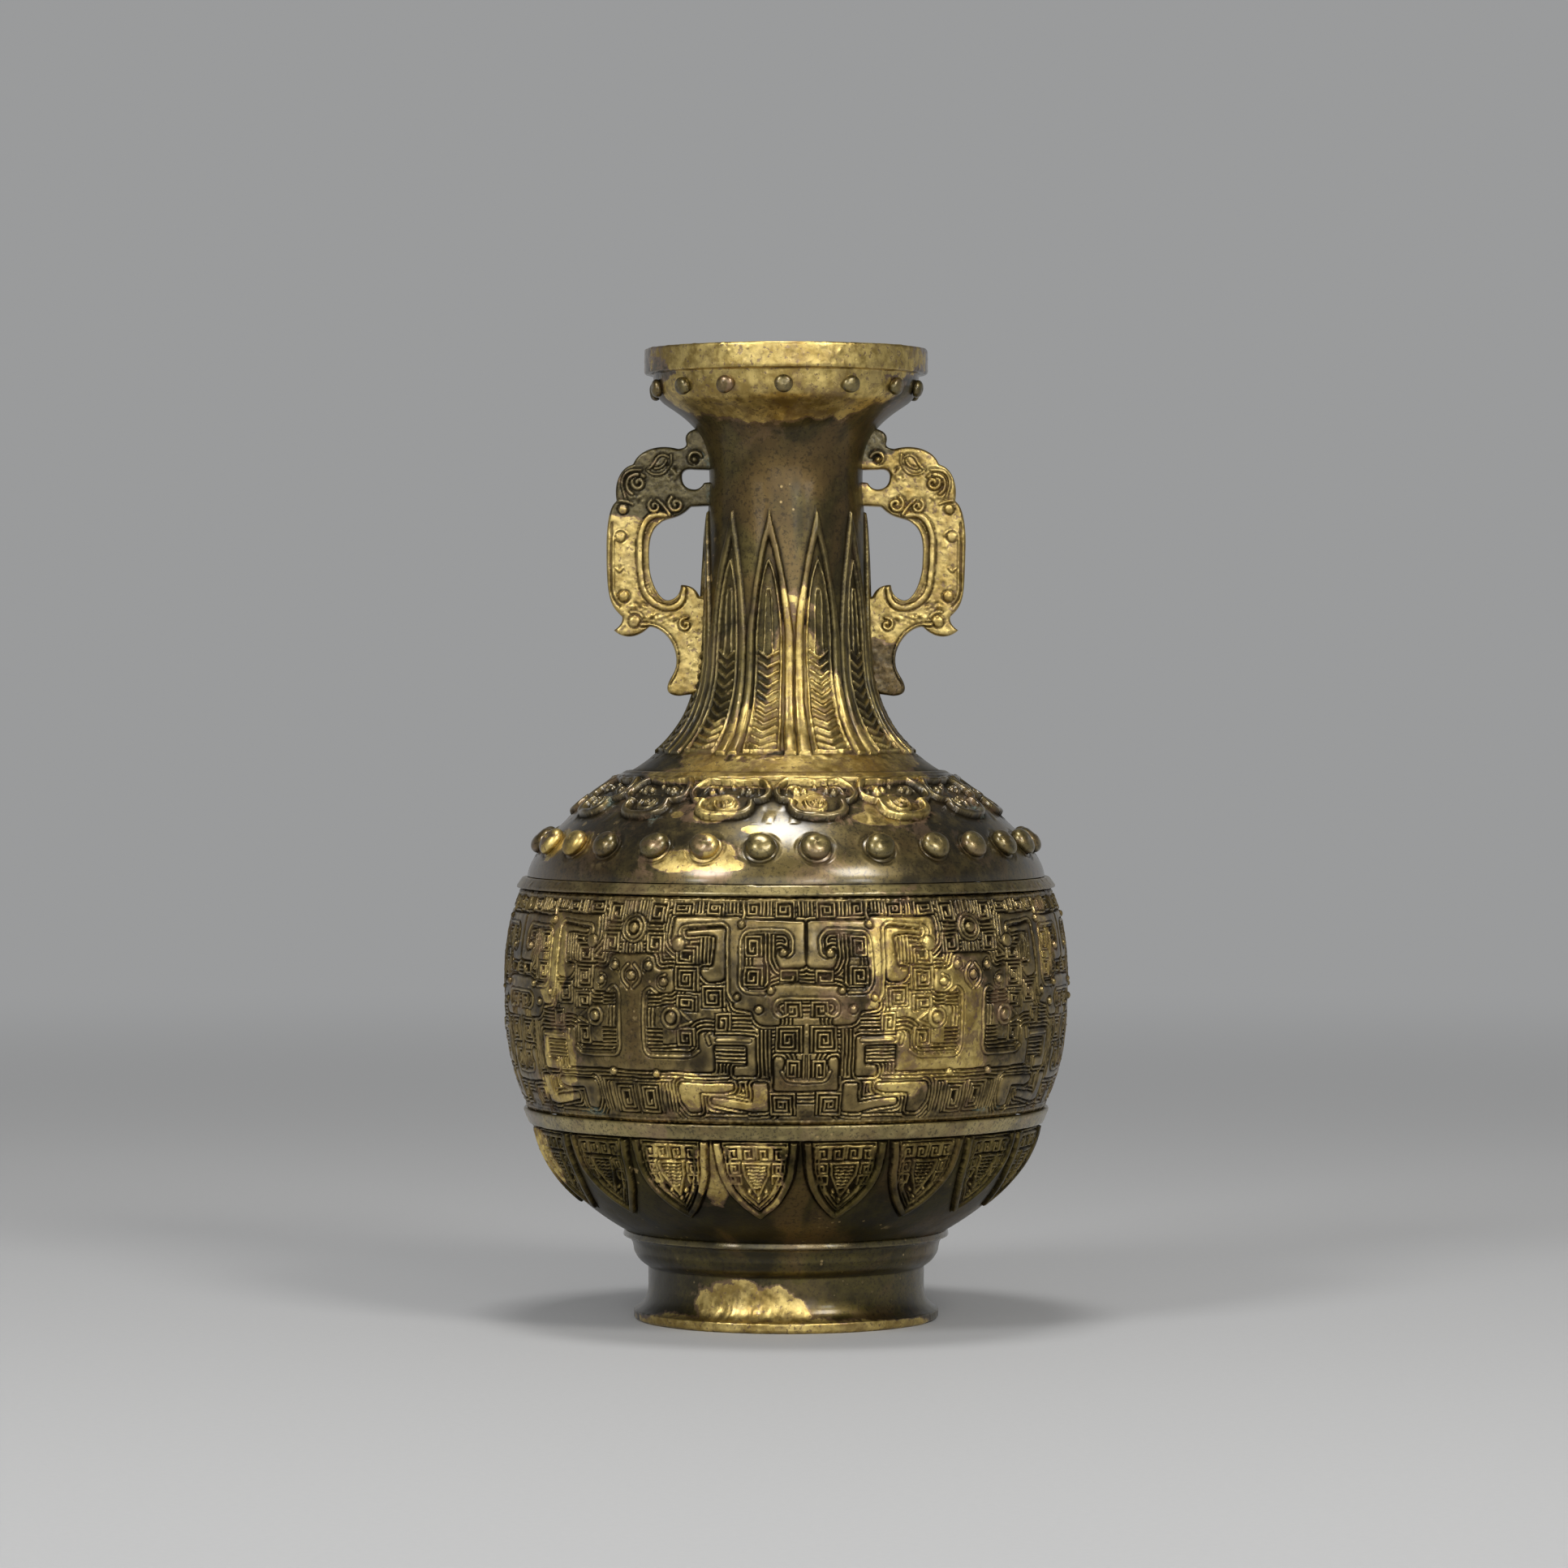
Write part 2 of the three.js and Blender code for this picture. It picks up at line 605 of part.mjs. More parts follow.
// A shape that passes through the plate and stands proud of both its faces.
function throughRelief(shape) {
  const depth = HANDLE_THICKNESS + 2 * HANDLE_RELIEF;
  return solidOf(new THREE.ExtrudeGeometry(shape, {
    depth, bevelEnabled: false, curveSegments: 3 }).translate(0, 0, -depth / 2));
}

// A curl that winds in on itself by three quarters of a turn and more.
function curl(x, y, radius, startDegrees, turns) {
  const steps = 5;
  const points = [];
  for (let i = 0; i <= steps; i++) {
    const along = i / steps;
    const reach = radius * (1 - 0.72 * along);
    const way = direction(startDegrees + 360 * turns * along);
    points.push(point(x + way.x * reach, y + way.y * reach));
  }
  return throughRelief(ribbon(points, CURL_WIDTH));
}

const CURLS = [
  { x: 26.4, y: 79.6, radius: 4.2, start: -60, turns: 1 },
  { x: 11.3, y: 71.7, radius: 3.3, start: 200, turns: 1 },
  { x: 19.2, y: 70.8, radius: 3.3, start: 200, turns: -1 },
  { x: 31.4, y: 68.9, radius: 3.3, start: 60, turns: -1 },
  { x: 5.7, y: 87.4, radius: 2.8, start: 100, turns: 1 },
];
const BOSSES = [
  { x: 31.8, y: 58.2 },
  { x: 31.4, y: 36 },
  { x: 27.5, y: 27.7 },
  { x: 7.9, y: 25.8 },
];
const BOSS_RADIUS = 2.4;
const CURL_WIDTH = 1.6;
const RIDGE_WIDTH = 2.0;

// The ridge that follows the finger opening and ends on the hooked tongue.
function openingRidge() {
  const line = new THREE.Path();
  line.moveTo(16.4, 67);
  line.bezierCurveTo(22.5, 66.7, 26.4, 62.1, 26.1, 48.7);
  line.bezierCurveTo(25.8, 38.5, 20.9, 31.8, 15.4, 31.4);
  line.quadraticCurveTo(9.1, 31.8, 7.9, 39.3);
  return throughRelief(ribbon(line.getPoints(4), RIDGE_WIDTH));
}

function eye() {
  const almond = new THREE.Shape();
  almond.moveTo(13.5, 88.7);
  almond.quadraticCurveTo(14.5, 81.8, 23.1, 83.6);
  almond.quadraticCurveTo(20.1, 89.9, 13.5, 88.7);
  const lid = new THREE.Path();
  lid.moveTo(15.3, 87.4);
  lid.quadraticCurveTo(16, 83.6, 20.9, 84.6);
  lid.quadraticCurveTo(19, 88.1, 15.3, 87.4);
  almond.holes.push(lid);
  return throughRelief(almond);
}

function boss({ x, y }) {
  return throughRelief(new THREE.Shape().absarc(x, y, BOSS_RADIUS, 0, Math.PI * 2));
}

// Gives a drawn solid its size and stands it up against the neck.
function stood(solid) {
  return solid.scale([HUNDREDTH, HUNDREDTH, 1]).rotate([90, 0, 0])
    .translate([NECK_TOP_RADIUS, 0, HANDLE_Z]);
}

function handle() {
  const outline = handleOutline();
  const plate = solidOf(new THREE.ExtrudeGeometry(outline, {
    depth: HANDLE_THICKNESS - 2 * HANDLE_EDGE, bevelThickness: HANDLE_EDGE,
    bevelSize: HANDLE_EDGE / HUNDREDTH, bevelOffset: -HANDLE_EDGE / HUNDREDTH,
    bevelSegments: 1, curveSegments: 3,
  }).translate(0, 0, -HANDLE_THICKNESS / 2 + HANDLE_EDGE));
  const gaps = [fingerGap(), mouthGap()].map((gap) => solidOf(
    new THREE.ExtrudeGeometry(new THREE.Shape(gap.getPoints(3)), {
      depth: 3 * HANDLE_THICKNESS, bevelEnabled: false,
    }).translate(0, 0, -1.5 * HANDLE_THICKNESS)));
  const relief = [
    ...CURLS.map(({ x, y, radius, start, turns }) => curl(x, y, radius, start, turns)),
    ...BOSSES.map(boss), openingRidge(), eye()];
  const flat = wasm.Manifold.union([plate, ...relief]);
  const open = gaps.reduce((solid, gap) => solid.subtract(gap), flat);
  const neck = turned(offset(neckCurve, FIT));
  const tenons = TENONS.map((tenon) => tenonBlock(tenon, 0));
  return wasm.Manifold.union([stood(open).subtract(neck), ...tenons]);
}

// The outline's radius at a height.
function radiusAt(outline, height) {
  return pointAt(outline, lengthsAlong(outline), lengthAtHeight(outline, height)).at.x;
}

// A tenon, or with a clearance all round the mortise that it goes into.
function tenonBlock({ z, height }, clearance) {
  const middle = z + height / 2;
  const outer = radiusAt(neckCurve, middle) + 2;
  const inner = radiusAt(neckCurve, middle) - TENON_DEPTH - 4 * clearance;
  return box(outer - inner, TENON_THICKNESS + 2 * clearance, height + 2 * clearance,
    (outer + inner) / 2, 0, middle);
}

// The mortises of both handles.
function mortises() {
  const right = wasm.Manifold.union(TENONS.map((tenon) => tenonBlock(tenon, FIT)));
  return right.add(right.rotate([0, 0, 180]));
}

// Where the handles lie against the neck, the neck is left without relief.
function handlePads() {
  const reach = COLLAR_RADIUS;
  const height = TOP_Z - COLLAR_Z;
  const depth = HANDLE_THICKNESS + 4 * FIT;
  return box(2 * reach, depth, height, 0, 0, HANDLE_Z - FIT + height / 2);
}

// Studs.

const MOUTH_STUD = { radius: 2.6, height: 1.5, z: STUD_WALL_Z + 2.3 };
const SHOULDER_STUD = { radius: 3.45, height: 2.5, z: SHOULDER_Z + 8.0 };
const MOUTH_STUD_ANGLES = anglesRound([-74, -50, -26.6, -1, 28.5, 54.8, 78], 14);
const SHOULDER_STUD_ANGLES = anglesRound(
  [-84, -72, -58, -46, -31.5, -18.8, -5.8, 6.8, 21.8, 36.4, 48.5, 61.5, 74, 86], 28);

// A domed head with its edge tucked under.
function studHead({ radius, height }) {
  const tuck = radius * 0.85;
  const profile = [
    point(0, 0), point(tuck, 0), point(radius, height * 0.35),
    point(radius * 0.72, height * 0.82), point(0, height),
  ];
  return new THREE.LatheGeometry(profile, STUD_FACETS).rotateX(Math.PI / 2);
}

// Seats a stud on an outline at a height and angle, square to the wall.
function seatedStud(stud, outline, degrees) {
  const { at, normal } = pointAt(
    outline, lengthsAlong(outline), lengthAtHeight(outline, stud.z));
  const mesh = new THREE.Mesh(studHead(stud));
  const foot = at.clone().addScaledVector(normal, FIT);
  mesh.position.copy(around(degrees, foot.x, foot.y));
  const out = around(degrees, normal.x, normal.y);
  mesh.quaternion.setFromUnitVectors(new THREE.Vector3(0, 0, 1), out);
  return mesh;
}

// The assembly.

const BRONZE = 0x5b4b2c;
const GILT = 0xb4924f;
const POLISHED = 0x7a6a40;
const DARK = 0x3a3122;

const vase = new THREE.Group();

function add(name, shape, color, roughness, metalness = 1) {
  const mesh = shape.isMesh ? shape : new THREE.Mesh(shape);
  mesh.name = name;
  mesh.material = new THREE.MeshStandardMaterial({
    color, roughness, metalness, flatShading: true });
  vase.add(mesh);
  return mesh;
}

add("foot_and_bowl", geometryOf(footAndBowl()), BRONZE, 0.42);
add("base_plate", geometryOf(basePlate()), DARK, 0.6);
add("lower_hoop", lowerHoop(), POLISHED, 0.35);
add("belly", geometryOf(belly()), BRONZE, 0.45);
add("upper_hoop", upperHoop(), POLISHED, 0.35);
add("shoulder_and_neck", geometryOf(shoulderAndNeck()), BRONZE, 0.4);

const handleGeometry = geometryOf(handle());
add("handle_right", handleGeometry, GILT, 0.38);
add("handle_left", handleGeometry, GILT, 0.38).rotation.z = Math.PI;

const studWall = [point(CUP_RADIUS, STUD_WALL_Z), point(RECESS_RADIUS, RIM_Z)];
MOUTH_STUD_ANGLES.forEach((angle, i) => {
  const name = "mouth_stud_" + String(i + 1).padStart(2, "0");
  add(name, seatedStud(MOUTH_STUD, studWall, angle), POLISHED, 0.35);
});
SHOULDER_STUD_ANGLES.forEach((angle, i) => {
  const name = "shoulder_stud_" + String(i + 1).padStart(2, "0");
  add(name, seatedStud(SHOULDER_STUD, shoulderCurve, angle), POLISHED, 0.3);
});

export default vase;
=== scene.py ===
# %% [markdown]
# # A gilt-splashed bronze vase
#
# The vase is three castings stacked on each other, with two bands over the seams, two flat
# open-work handles and forty-two applied studs. This script dresses the packed solids for a
# picture. Lengths are written in millimetres, as a founder would, and turned into metres
# only when a mesh is made. Angles go round the vase from the front, towards +X.

# %% Load the packed vase
import math

import bpy
import numpy as np
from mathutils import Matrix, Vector


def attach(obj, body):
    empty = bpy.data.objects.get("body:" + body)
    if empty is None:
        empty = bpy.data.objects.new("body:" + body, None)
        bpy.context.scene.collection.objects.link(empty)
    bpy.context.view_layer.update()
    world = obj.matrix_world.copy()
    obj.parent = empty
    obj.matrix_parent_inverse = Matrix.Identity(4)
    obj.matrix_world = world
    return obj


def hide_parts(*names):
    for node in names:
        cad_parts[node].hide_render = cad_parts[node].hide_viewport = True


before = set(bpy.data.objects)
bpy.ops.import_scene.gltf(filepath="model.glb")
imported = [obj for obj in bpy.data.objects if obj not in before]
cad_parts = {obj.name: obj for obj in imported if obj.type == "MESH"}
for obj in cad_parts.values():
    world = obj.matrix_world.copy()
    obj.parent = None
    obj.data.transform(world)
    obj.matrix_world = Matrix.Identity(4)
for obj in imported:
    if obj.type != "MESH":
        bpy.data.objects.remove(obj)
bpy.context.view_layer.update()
MM = 0.001
DEGREE = math.radians(1.0)
print("nodes in the frame:", len(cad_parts))

# %% [markdown]
# ## The outline
#
# Everything on the vase sits on one outline that is spun round the axis. It is drawn with a
# few cubic curves whose ends are given as a direction and a pull, because that is how the
# swelling of a pot is judged by eye. The numbers are those of the solids, so that each
# dressed piece falls where its casting is.

# %% Curves of the outline
def cubic(start, first, second, end, steps=12):
    """Points of a curve with two control points."""
    t = np.linspace(0, 1, steps + 1)[:, None]
    start, first, second, end = (np.array(p, float) for p in (start, first, second, end))
    return ((1 - t) ** 3 * start + 3 * (1 - t) ** 2 * t * first
            + 3 * (1 - t) * t ** 2 * second + t ** 3 * end)


def bend(start, pull, end, steps=16):
    """Points of a curve with one control point."""
    start, pull, end = (np.array(p, float) for p in (start, pull, end))
    t = np.linspace(0, 1, steps + 1)[:, None]
    return (1 - t) ** 2 * start + 2 * (1 - t) * t * pull + t ** 2 * end


def curve(start, end, leave, leave_pull, meet, meet_pull):
    """A cubic curve whose end directions are in degrees above the outward horizontal."""
    away, home = (np.array([math.cos(math.radians(way)), math.sin(math.radians(way))])
                  for way in (leave, meet))
    return cubic(start, start + leave_pull * away, end - meet_pull * home, end, 60)


FOOT_LINE = np.vstack([
    [[35.5, 0.0], [36.2, 0.5]],
    bend((36.2, 2.3), (32.8, 3.6), (32.8, 8.4)),
    bend((32.8, 12.6), (35.4, 14.0), (36.2, 16.4)),
    bend((36.2, 16.4), (36.3, 18.1), (36.9, 18.9), 8)[1:],
    bend((36.9, 18.9), (37.2, 19.5), (38.0, 19.7), 6)[1:],
])
RING_LINE = np.vstack([
    bend((38.0, 19.7), (38.6, 19.72), (38.68, 19.95), 6),
    bend((38.68, 19.95), (38.62, 20.5), (38.42, 21.1), 10)[1:],
    bend((38.42, 21.1), (38.32, 21.4), (38.0, 21.42), 6)[1:],
    [[38.45, 21.44]],
])
BOWL_LINE = curve((38.2, 21.3), (59.9, 46.6), 29.7, 10.7, 81.3, 11.2)
BELLY_LINE = np.vstack([
    curve((61.4, 50.6), (66.9, 79.5), 64, 9.5, 90, 13),
    curve((66.9, 79.5), (63.0, 102.2), 90, 10, 113, 7)[1:],
])
SHOULDER_LINE = curve((61.4, 105.2), (38.3, 129.0), 94, 5.8, 147.2, 15.7)
NECK_LINE = np.vstack([
    curve((38.3, 129.0), (20.4, 156.0), 150, 13, 94.4, 13),
    curve((18.2, 198.0), (30.8, 218.2), 92, 11.5, 30.6, 10.2)[:-7],
    bend((27.66, 216.32), (30.75, 218.0), (31.15, 220.8), 10)[1:],
])
MOUTH_LINE = np.vstack([
    [[31.15, 220.8], [31.6, 223.9], [32.9, 224.0]],
    bend((32.9, 224.0), (33.6, 224.0), (33.6, 224.7), 5)[1:],
    [[33.6, 229.3]],
    bend((33.6, 229.3), (33.6, 230.0), (32.9, 230.0), 5)[1:],
    bend((31.0, 230.0), (30.4, 230.0), (30.4, 229.4), 5),
])
WALL = 3.0


def shifted(line, distance):
    """The line moved along its own normals, outwards for a positive distance."""
    along = np.gradient(line, axis=0)
    along /= np.linalg.norm(along, axis=1)[:, None]
    return line + distance * np.column_stack([along[:, 1], -along[:, 0]])


def lengths_along(line):
    """How far along the line each of its points is."""
    return np.concatenate([[0], np.cumsum(np.linalg.norm(np.diff(line, axis=0), axis=1))])


def height_to_length(line, heights):
    return np.interp(heights, line[:, 1], lengths_along(line))


def spot_along(line, length):
    """The radius and the height of an outline, some length along it."""
    lengths = lengths_along(line)
    return np.array([np.interp(length, lengths, line[:, i]) for i in (0, 1)])


for title, line in (("foot", FOOT_LINE), ("ring", RING_LINE), ("bowl", BOWL_LINE),
                    ("belly", BELLY_LINE), ("shoulder", SHOULDER_LINE), ("neck", NECK_LINE)):
    print(title, "outline is", round(lengths_along(line)[-1], 1), "mm long")

# %% [markdown]
# ## A drawing sheet for the carving
#
# The carving is what makes this vase. A founder cuts it into a flat strip of wax and bends
# the strip round the core. This script does the same: each motif is drawn once as heights on
# a flat sheet with a spacing of a tenth of a millimetre, and the sheet is bent onto the
# wall later. The strokes are ridges, plateaus, domes and key frets, laid one over the other.

# %% A blur for grids of numbers
def blurred(values, cells):
    """A box blur, twice, along both ways of a grid."""
    for axis in (0, 1, 0, 1):
        pad = [(0, 0), (0, 0)]
        pad[axis] = (cells + 1, cells)
        total = np.cumsum(np.pad(values, pad, mode="edge"), axis=axis)
        width = 2 * cells + 1
        high = np.take(total, range(width, total.shape[axis]), axis=axis)
        low = np.take(total, range(0, total.shape[axis] - width), axis=axis)
        values = (high - low) / width
    return values


print("one spot of 1, blurred:", blurred(np.eye(1, 9, 4), 1).round(2))

# %% The sheet and its strokes
GUTTER = 0.3  # the cut beside a ridge
BOSS_GUTTER = 0.35  # the hollow round a boss
FALL = 0.35  # how far a ridge's back falls towards its edges, for each millimetre of width


class Sheet:
    """Heights in millimetres over a flat drawing, x across and y up."""

    def __init__(self, left, right, bottom, top, pitch=0.1):
        self.left, self.bottom, self.pitch = left, bottom, pitch
        self.x = np.arange(left, right + pitch, pitch)
        self.y = np.arange(bottom, top + pitch, pitch)
        self.level = np.zeros((len(self.y), len(self.x)))

    def put(self, where, height):
        """Sets the heights of some spots."""
        self.level = np.where(where, height, self.level)

    def distance(self, line, reach):
        """How far each spot is from a line, up to a reach."""
        found = np.full(self.level.shape, float(reach))
        for (ax, ay), (bx, by) in zip(line[:-1], line[1:]):
            across = slice(*np.searchsorted(self.x, (min(ax, bx) - reach, max(ax, bx) + reach)))
            up = slice(*np.searchsorted(self.y, (min(ay, by) - reach, max(ay, by) + reach)))
            x, y = self.x[across][None, :] - ax, self.y[up][:, None] - ay
            dx, dy = bx - ax, by - ay
            share = np.clip((x * dx + y * dy) / (dx * dx + dy * dy + 1e-9), 0, 1)
            spot = np.hypot(x - share * dx, y - share * dy)
            found[up, across] = np.minimum(found[up, across], spot)
        return found

    def inside(self, loop):
        """True for the spots inside a closed loop."""
        odd = np.zeros(self.level.shape, bool)
        for (ax, ay), (bx, by) in zip(loop, np.roll(loop, -1, axis=0)):
            if ay == by:
                continue
            rows = (self.y > min(ay, by)) & (self.y <= max(ay, by))
            crossing = ax + (self.y[rows] - ay) * (bx - ax) / (by - ay)
            odd[rows] ^= self.x[None, :] < crossing[:, None]
        return odd

    def outside_distance(self, loop):
        """Distance to a closed loop, up to three millimetres and negative inside it."""
        edge = self.distance(joined(loop), 3.0)
        return np.where(self.inside(loop), -edge, edge)

    def ridge(self, line, width, top, foot=None):
        """A raised line with a rounded back, and if a foot is given a cut beside it."""
        d, half = self.distance(line, width + 2 * GUTTER), width / 2
        if foot is not None:
            self.put((d >= half) & (d < half + GUTTER), np.minimum(self.level, foot))
        back = top - FALL * (d / half) ** 2 * min(width, 0.8)
        self.put(d < half, np.maximum(self.level, back))

    def cut(self, line, width, depth):
        """An engraved line."""
        d = self.distance(line, width)
        groove = depth * (1 - (2 * d / width) ** 2)
        self.put(d < width / 2, self.level - np.maximum(groove, 0))

    def dome(self, x, y, radius, top, foot=-0.35):
        """A small round boss in a narrow hollow."""
        d = np.hypot(self.x[None, :] - x, self.y[:, None] - y)
        self.put((d >= radius) & (d < radius + BOSS_GUTTER), np.minimum(self.level, foot))
        self.put(d < radius, top * np.sqrt(np.clip(1 - (d / radius) ** 2, 0, 1)))

    def ring(self, x, y, radius, width, top, foot=-0.35):
        angle = np.linspace(0, 2 * math.pi, 41)
        self.ridge(np.column_stack([x + radius * np.cos(angle), y + radius * np.sin(angle)]),
                   width, top, foot)

    def curl(self, x, y, radius, start, turns, width, top, foot=-0.35):
        """A line that winds in on itself, from a start angle in degrees."""
        share = np.linspace(0, 1, 40)
        reach = radius * (1 - 0.8 * share)
        angle = np.radians(start + 360 * turns * share)
        self.ridge(np.column_stack([x + reach * np.cos(angle), y + reach * np.sin(angle)]),
                   width, top, foot)

    def roughen(self, where, size, height, seed):
        """Gives part of the drawing the grain of a rough casting."""
        source = np.random.default_rng(seed)
        cells = max(1, round(size / self.pitch / 3))
        grain = blurred(source.normal(size=self.level.shape), cells)
        self.level = self.level + np.where(where, height * grain / grain.std(), 0)

    def read(self, x, y):
        """Heights at any spots, blended between the four nearest."""
        across = np.clip((x - self.left) / self.pitch, 0, len(self.x) - 1.001)
        up = np.clip((y - self.bottom) / self.pitch, 0, len(self.y) - 1.001)
        i, j = across.astype(int), up.astype(int)
        u, v = across - i, up - j
        level = self.level
        return ((1 - v) * ((1 - u) * level[j, i] + u * level[j, i + 1])
                + v * ((1 - u) * level[j + 1, i] + u * level[j + 1, i + 1]))


# %% Rounded lines and key frets
def rounded(points, radius=1.2, closed=False):
    """The corners of a line cut round, as a graver leaves them."""
    points = np.array(points, float)
    count = len(points)
    line = [] if closed else [points[:1]]
    for i in range(0 if closed else 1, count if closed else count - 1):
        before, here, after = points[i - 1], points[i], points[(i + 1) % count]
        back, ahead = before - here, after - here
        room = 0.45 * min(np.linalg.norm(back), np.linalg.norm(ahead))
        start = here + back / np.linalg.norm(back) * min(radius, room)
        end = here + ahead / np.linalg.norm(ahead) * min(radius, room)
        line.append(bend(start, here, end, 4))
    return np.vstack(line if closed else line + [points[-1:]])


def joined(loop):
    """The loop with its first point again at the end."""
    return np.vstack([loop, loop[:1]])


def fret(left, bottom, right, top, pitch):
    """The winding line of one square key fret."""
    points = [(left, bottom)]
    while right - left > pitch * 0.8 and top - bottom > pitch * 0.8:
        points += [(left, top), (right, top), (right, bottom), (left + pitch, bottom)]
        left, right = left + pitch, right - pitch
        bottom, top = bottom + pitch, top - pitch
        points += [(left, bottom)]
    return np.array(points)


print("a key fret of 5 mm has", len(fret(0, 0, 5, 5, 0.89)), "corners")

# %% [markdown]
# ## The frieze
#
# Five beast masks go round the belly. A mask is mirrored about its nose, and its neighbour is
# mirrored about the upright between them, so half a mask is all that has to be drawn: smooth
# bands for brow, nose, jaw and horns, thin raised lines along them, round bosses, and a
# ground that is filled with square key frets. The ground is cut down around the bands,
# and the first lines follow their edges, as on the real wax.

# %% Half a mask, from the nose outwards
FRIEZE_RADIUS = 65.0
MASK_HALF_ANGLE = 36.0
MASK_HALF = math.radians(MASK_HALF_ANGLE) * FRIEZE_RADIUS
FRIEZE_HEIGHT = 51.6
NOSE = 0.8  # the mask's mirror line, in the x of the lists below
GROUND = -0.78
FRET_PITCH = 0.89
LINE_WIDTH = 0.5
ROSETTE = 44.5  # height of the rosette on the upright between two masks
RAILS, RAIL_WIDTH = (0.55, 51.05), 0.9


def mask_points(*pairs):
    return np.array(pairs, float) - (NOSE, 0)


BROW = [
    (31.4, 47.1), (16.2, 47.4), (14.1, 46.5), (0.94, 46.5), (0.94, 36.3), (1.9, 35.8),
    (6.8, 35.8), (7.7, 38.1), (7.2, 40.0), (5.9, 39.7), (5.3, 38.1), (4.0, 38.9),
    (3.7, 42.3), (4.5, 43.6), (5.6, 44.4), (14.2, 44.1), (15.4, 42.8), (15.8, 38.1),
    (15.6, 31.8), (14.3, 30.1), (10.2, 30.0), (9.2, 30.5), (8.3, 31.6), (7.2, 32.0),
    (0.0, 32.2), (0.0, 28.7), (6.8, 28.8), (8.1, 27.5), (8.0, 25.7), (6.6, 24.6),
    (6.7, 22.8), (10.8, 22.9), (12.1, 23.8), (12.9, 25.9), (15.3, 26.2), (17.0, 26.6),
    (17.1, 28.0), (18.2, 29.9), (18.7, 44.9), (20.0, 45.8), (29.1, 45.0), (29.9, 43.9),
    (29.6, 42.1), (28.1, 41.4), (29.7, 39.8), (31.8, 41.6), (31.8, 43.9),
]
EAR = [
    (28.4, 44.0), (21.4, 44.8), (19.1, 44.9), (18.7, 33.4), (19.8, 32.7), (22.7, 32.5),
    (24.2, 33.8), (24.6, 35.6), (21.6, 36.0), (21.2, 43.0), (24.0, 43.3), (28.0, 42.9),
]
SIDE = [
    (43.0, 38.4), (37.5, 38.6), (35.9, 38.2), (35.4, 36.0), (34.2, 35.2), (31.0, 35.5),
    (30.9, 30.4), (31.6, 29.8), (35.2, 29.9), (36.9, 31.2), (38.2, 30.1), (38.5, 28.6),
    (38.4, 16.7), (37.4, 15.4), (26.7, 15.4), (25.0, 16.8), (24.8, 21.0), (23.5, 21.4),
    (21.7, 21.3), (21.6, 20.2), (12.1, 20.2), (12.1, 11.1), (17.3, 11.0), (17.3, 13.4),
    (14.1, 13.6), (14.1, 18.2), (21.6, 18.2), (21.7, 12.0), (43.0, 12.0),
]
CHEEK = [
    (30.0, 9.4), (17.3, 9.4), (17.3, 8.0), (19.5, 7.2), (25.7, 7.2), (25.6, 2.6),
    (28.5, 2.4), (30.4, 5.0), (30.6, 8.0),
]
CLAW = [
    (13.2, 9.5), (9.5, 9.5), (9.5, 3.0), (13.0, 2.6), (17.0, 3.4), (23.0, 4.3),
    (23.0, 5.9), (17.5, 5.6), (13.2, 4.8), (12.9, 7.0),
]
LIP = [
    (8.2, 7.8), (8.1, 15.0), (7.4, 15.6), (6.2, 15.5), (5.6, 14.6), (6.3, 12.2),
    (5.3, 10.0), (0.0, 9.7), (0.0, 7.6),
]
BANDS = [BROW, EAR, SIDE, CHEEK, CLAW, LIP]
RAISED_LINES = [
    BROW[9:21], BROW[43:35:-1] + [(15.9, 28.7), (16.1, 29.7)], BROW[25:30] + [(5.0, 25.4)],
    SIDE[8:16], LIP[5:8],
    [(15.2, 50.4), (14.9, 48.0), (15.3, 46.7)],
    [(22.4, 21.0), (23.2, 20.6), (22.5, 18.4)],
    [(37.2, 37.2), (38.2, 36.6), (38.1, 35.0)],
    [(33.0, 34.0), (34.6, 33.4), (34.7, 31.6), (33.4, 30.8)],
    [(40.9, 36.2), (39.3, 34.6), (39.3, 32.6), (40.9, 31.0)],
    [(13.4, 19.3), (20.8, 19.3)],
    [(26.5, 23.4), (29.4, 25.6), (31.0, 26.4)],
    [(26.5, 23.4), (29.4, 22.4), (31.0, 22.0)],
]
BALLS = [
    (15.5, 45.6, 0.85), (29.9, 41.1, 1.45), (37.2, 35.9, 0.95), (33.4, 32.4, 0.95),
    (11.3, 26.3, 0.9), (8.7, 30.6, 0.8), (35.8, 11.4, 0.85), (6.0, 39.2, 0.9),
    (16.2, 29.0, 0.7), (31.6, 24.2, 1.25),
]
FRETS = [
    (33.7, 46.2, 37.9, 50.4), (27.2, 47.9, 32.0, 50.6), (19.8, 47.9, 23.6, 50.6),
    (11.2, 47.9, 14.0, 50.6), (3.5, 47.4, 7.5, 50.6), (33.6, 39.2, 37.7, 43.3),
    (25.3, 36.7, 30.2, 40.6), (25.1, 30.7, 30.4, 35.8), (10.7, 32.0, 14.6, 36.0),
    (10.9, 38.6, 14.4, 42.8), (1.9, 16.9, 7.4, 22.4), (3.4, 2.2, 9.0, 7.1),
    (35.5, 2.3, 41.0, 9.0), (26.0, 18.0, 29.8, 21.8), (25.6, 26.0, 30.0, 29.2),
    (18.0, 21.6, 21.0, 25.2), (2.0, 25.0, 5.4, 28.0), (2.4, 11.0, 5.0, 14.6),
    (3.0, 33.0, 6.6, 35.2), (19.0, 27.0, 24.0, 31.6),
]
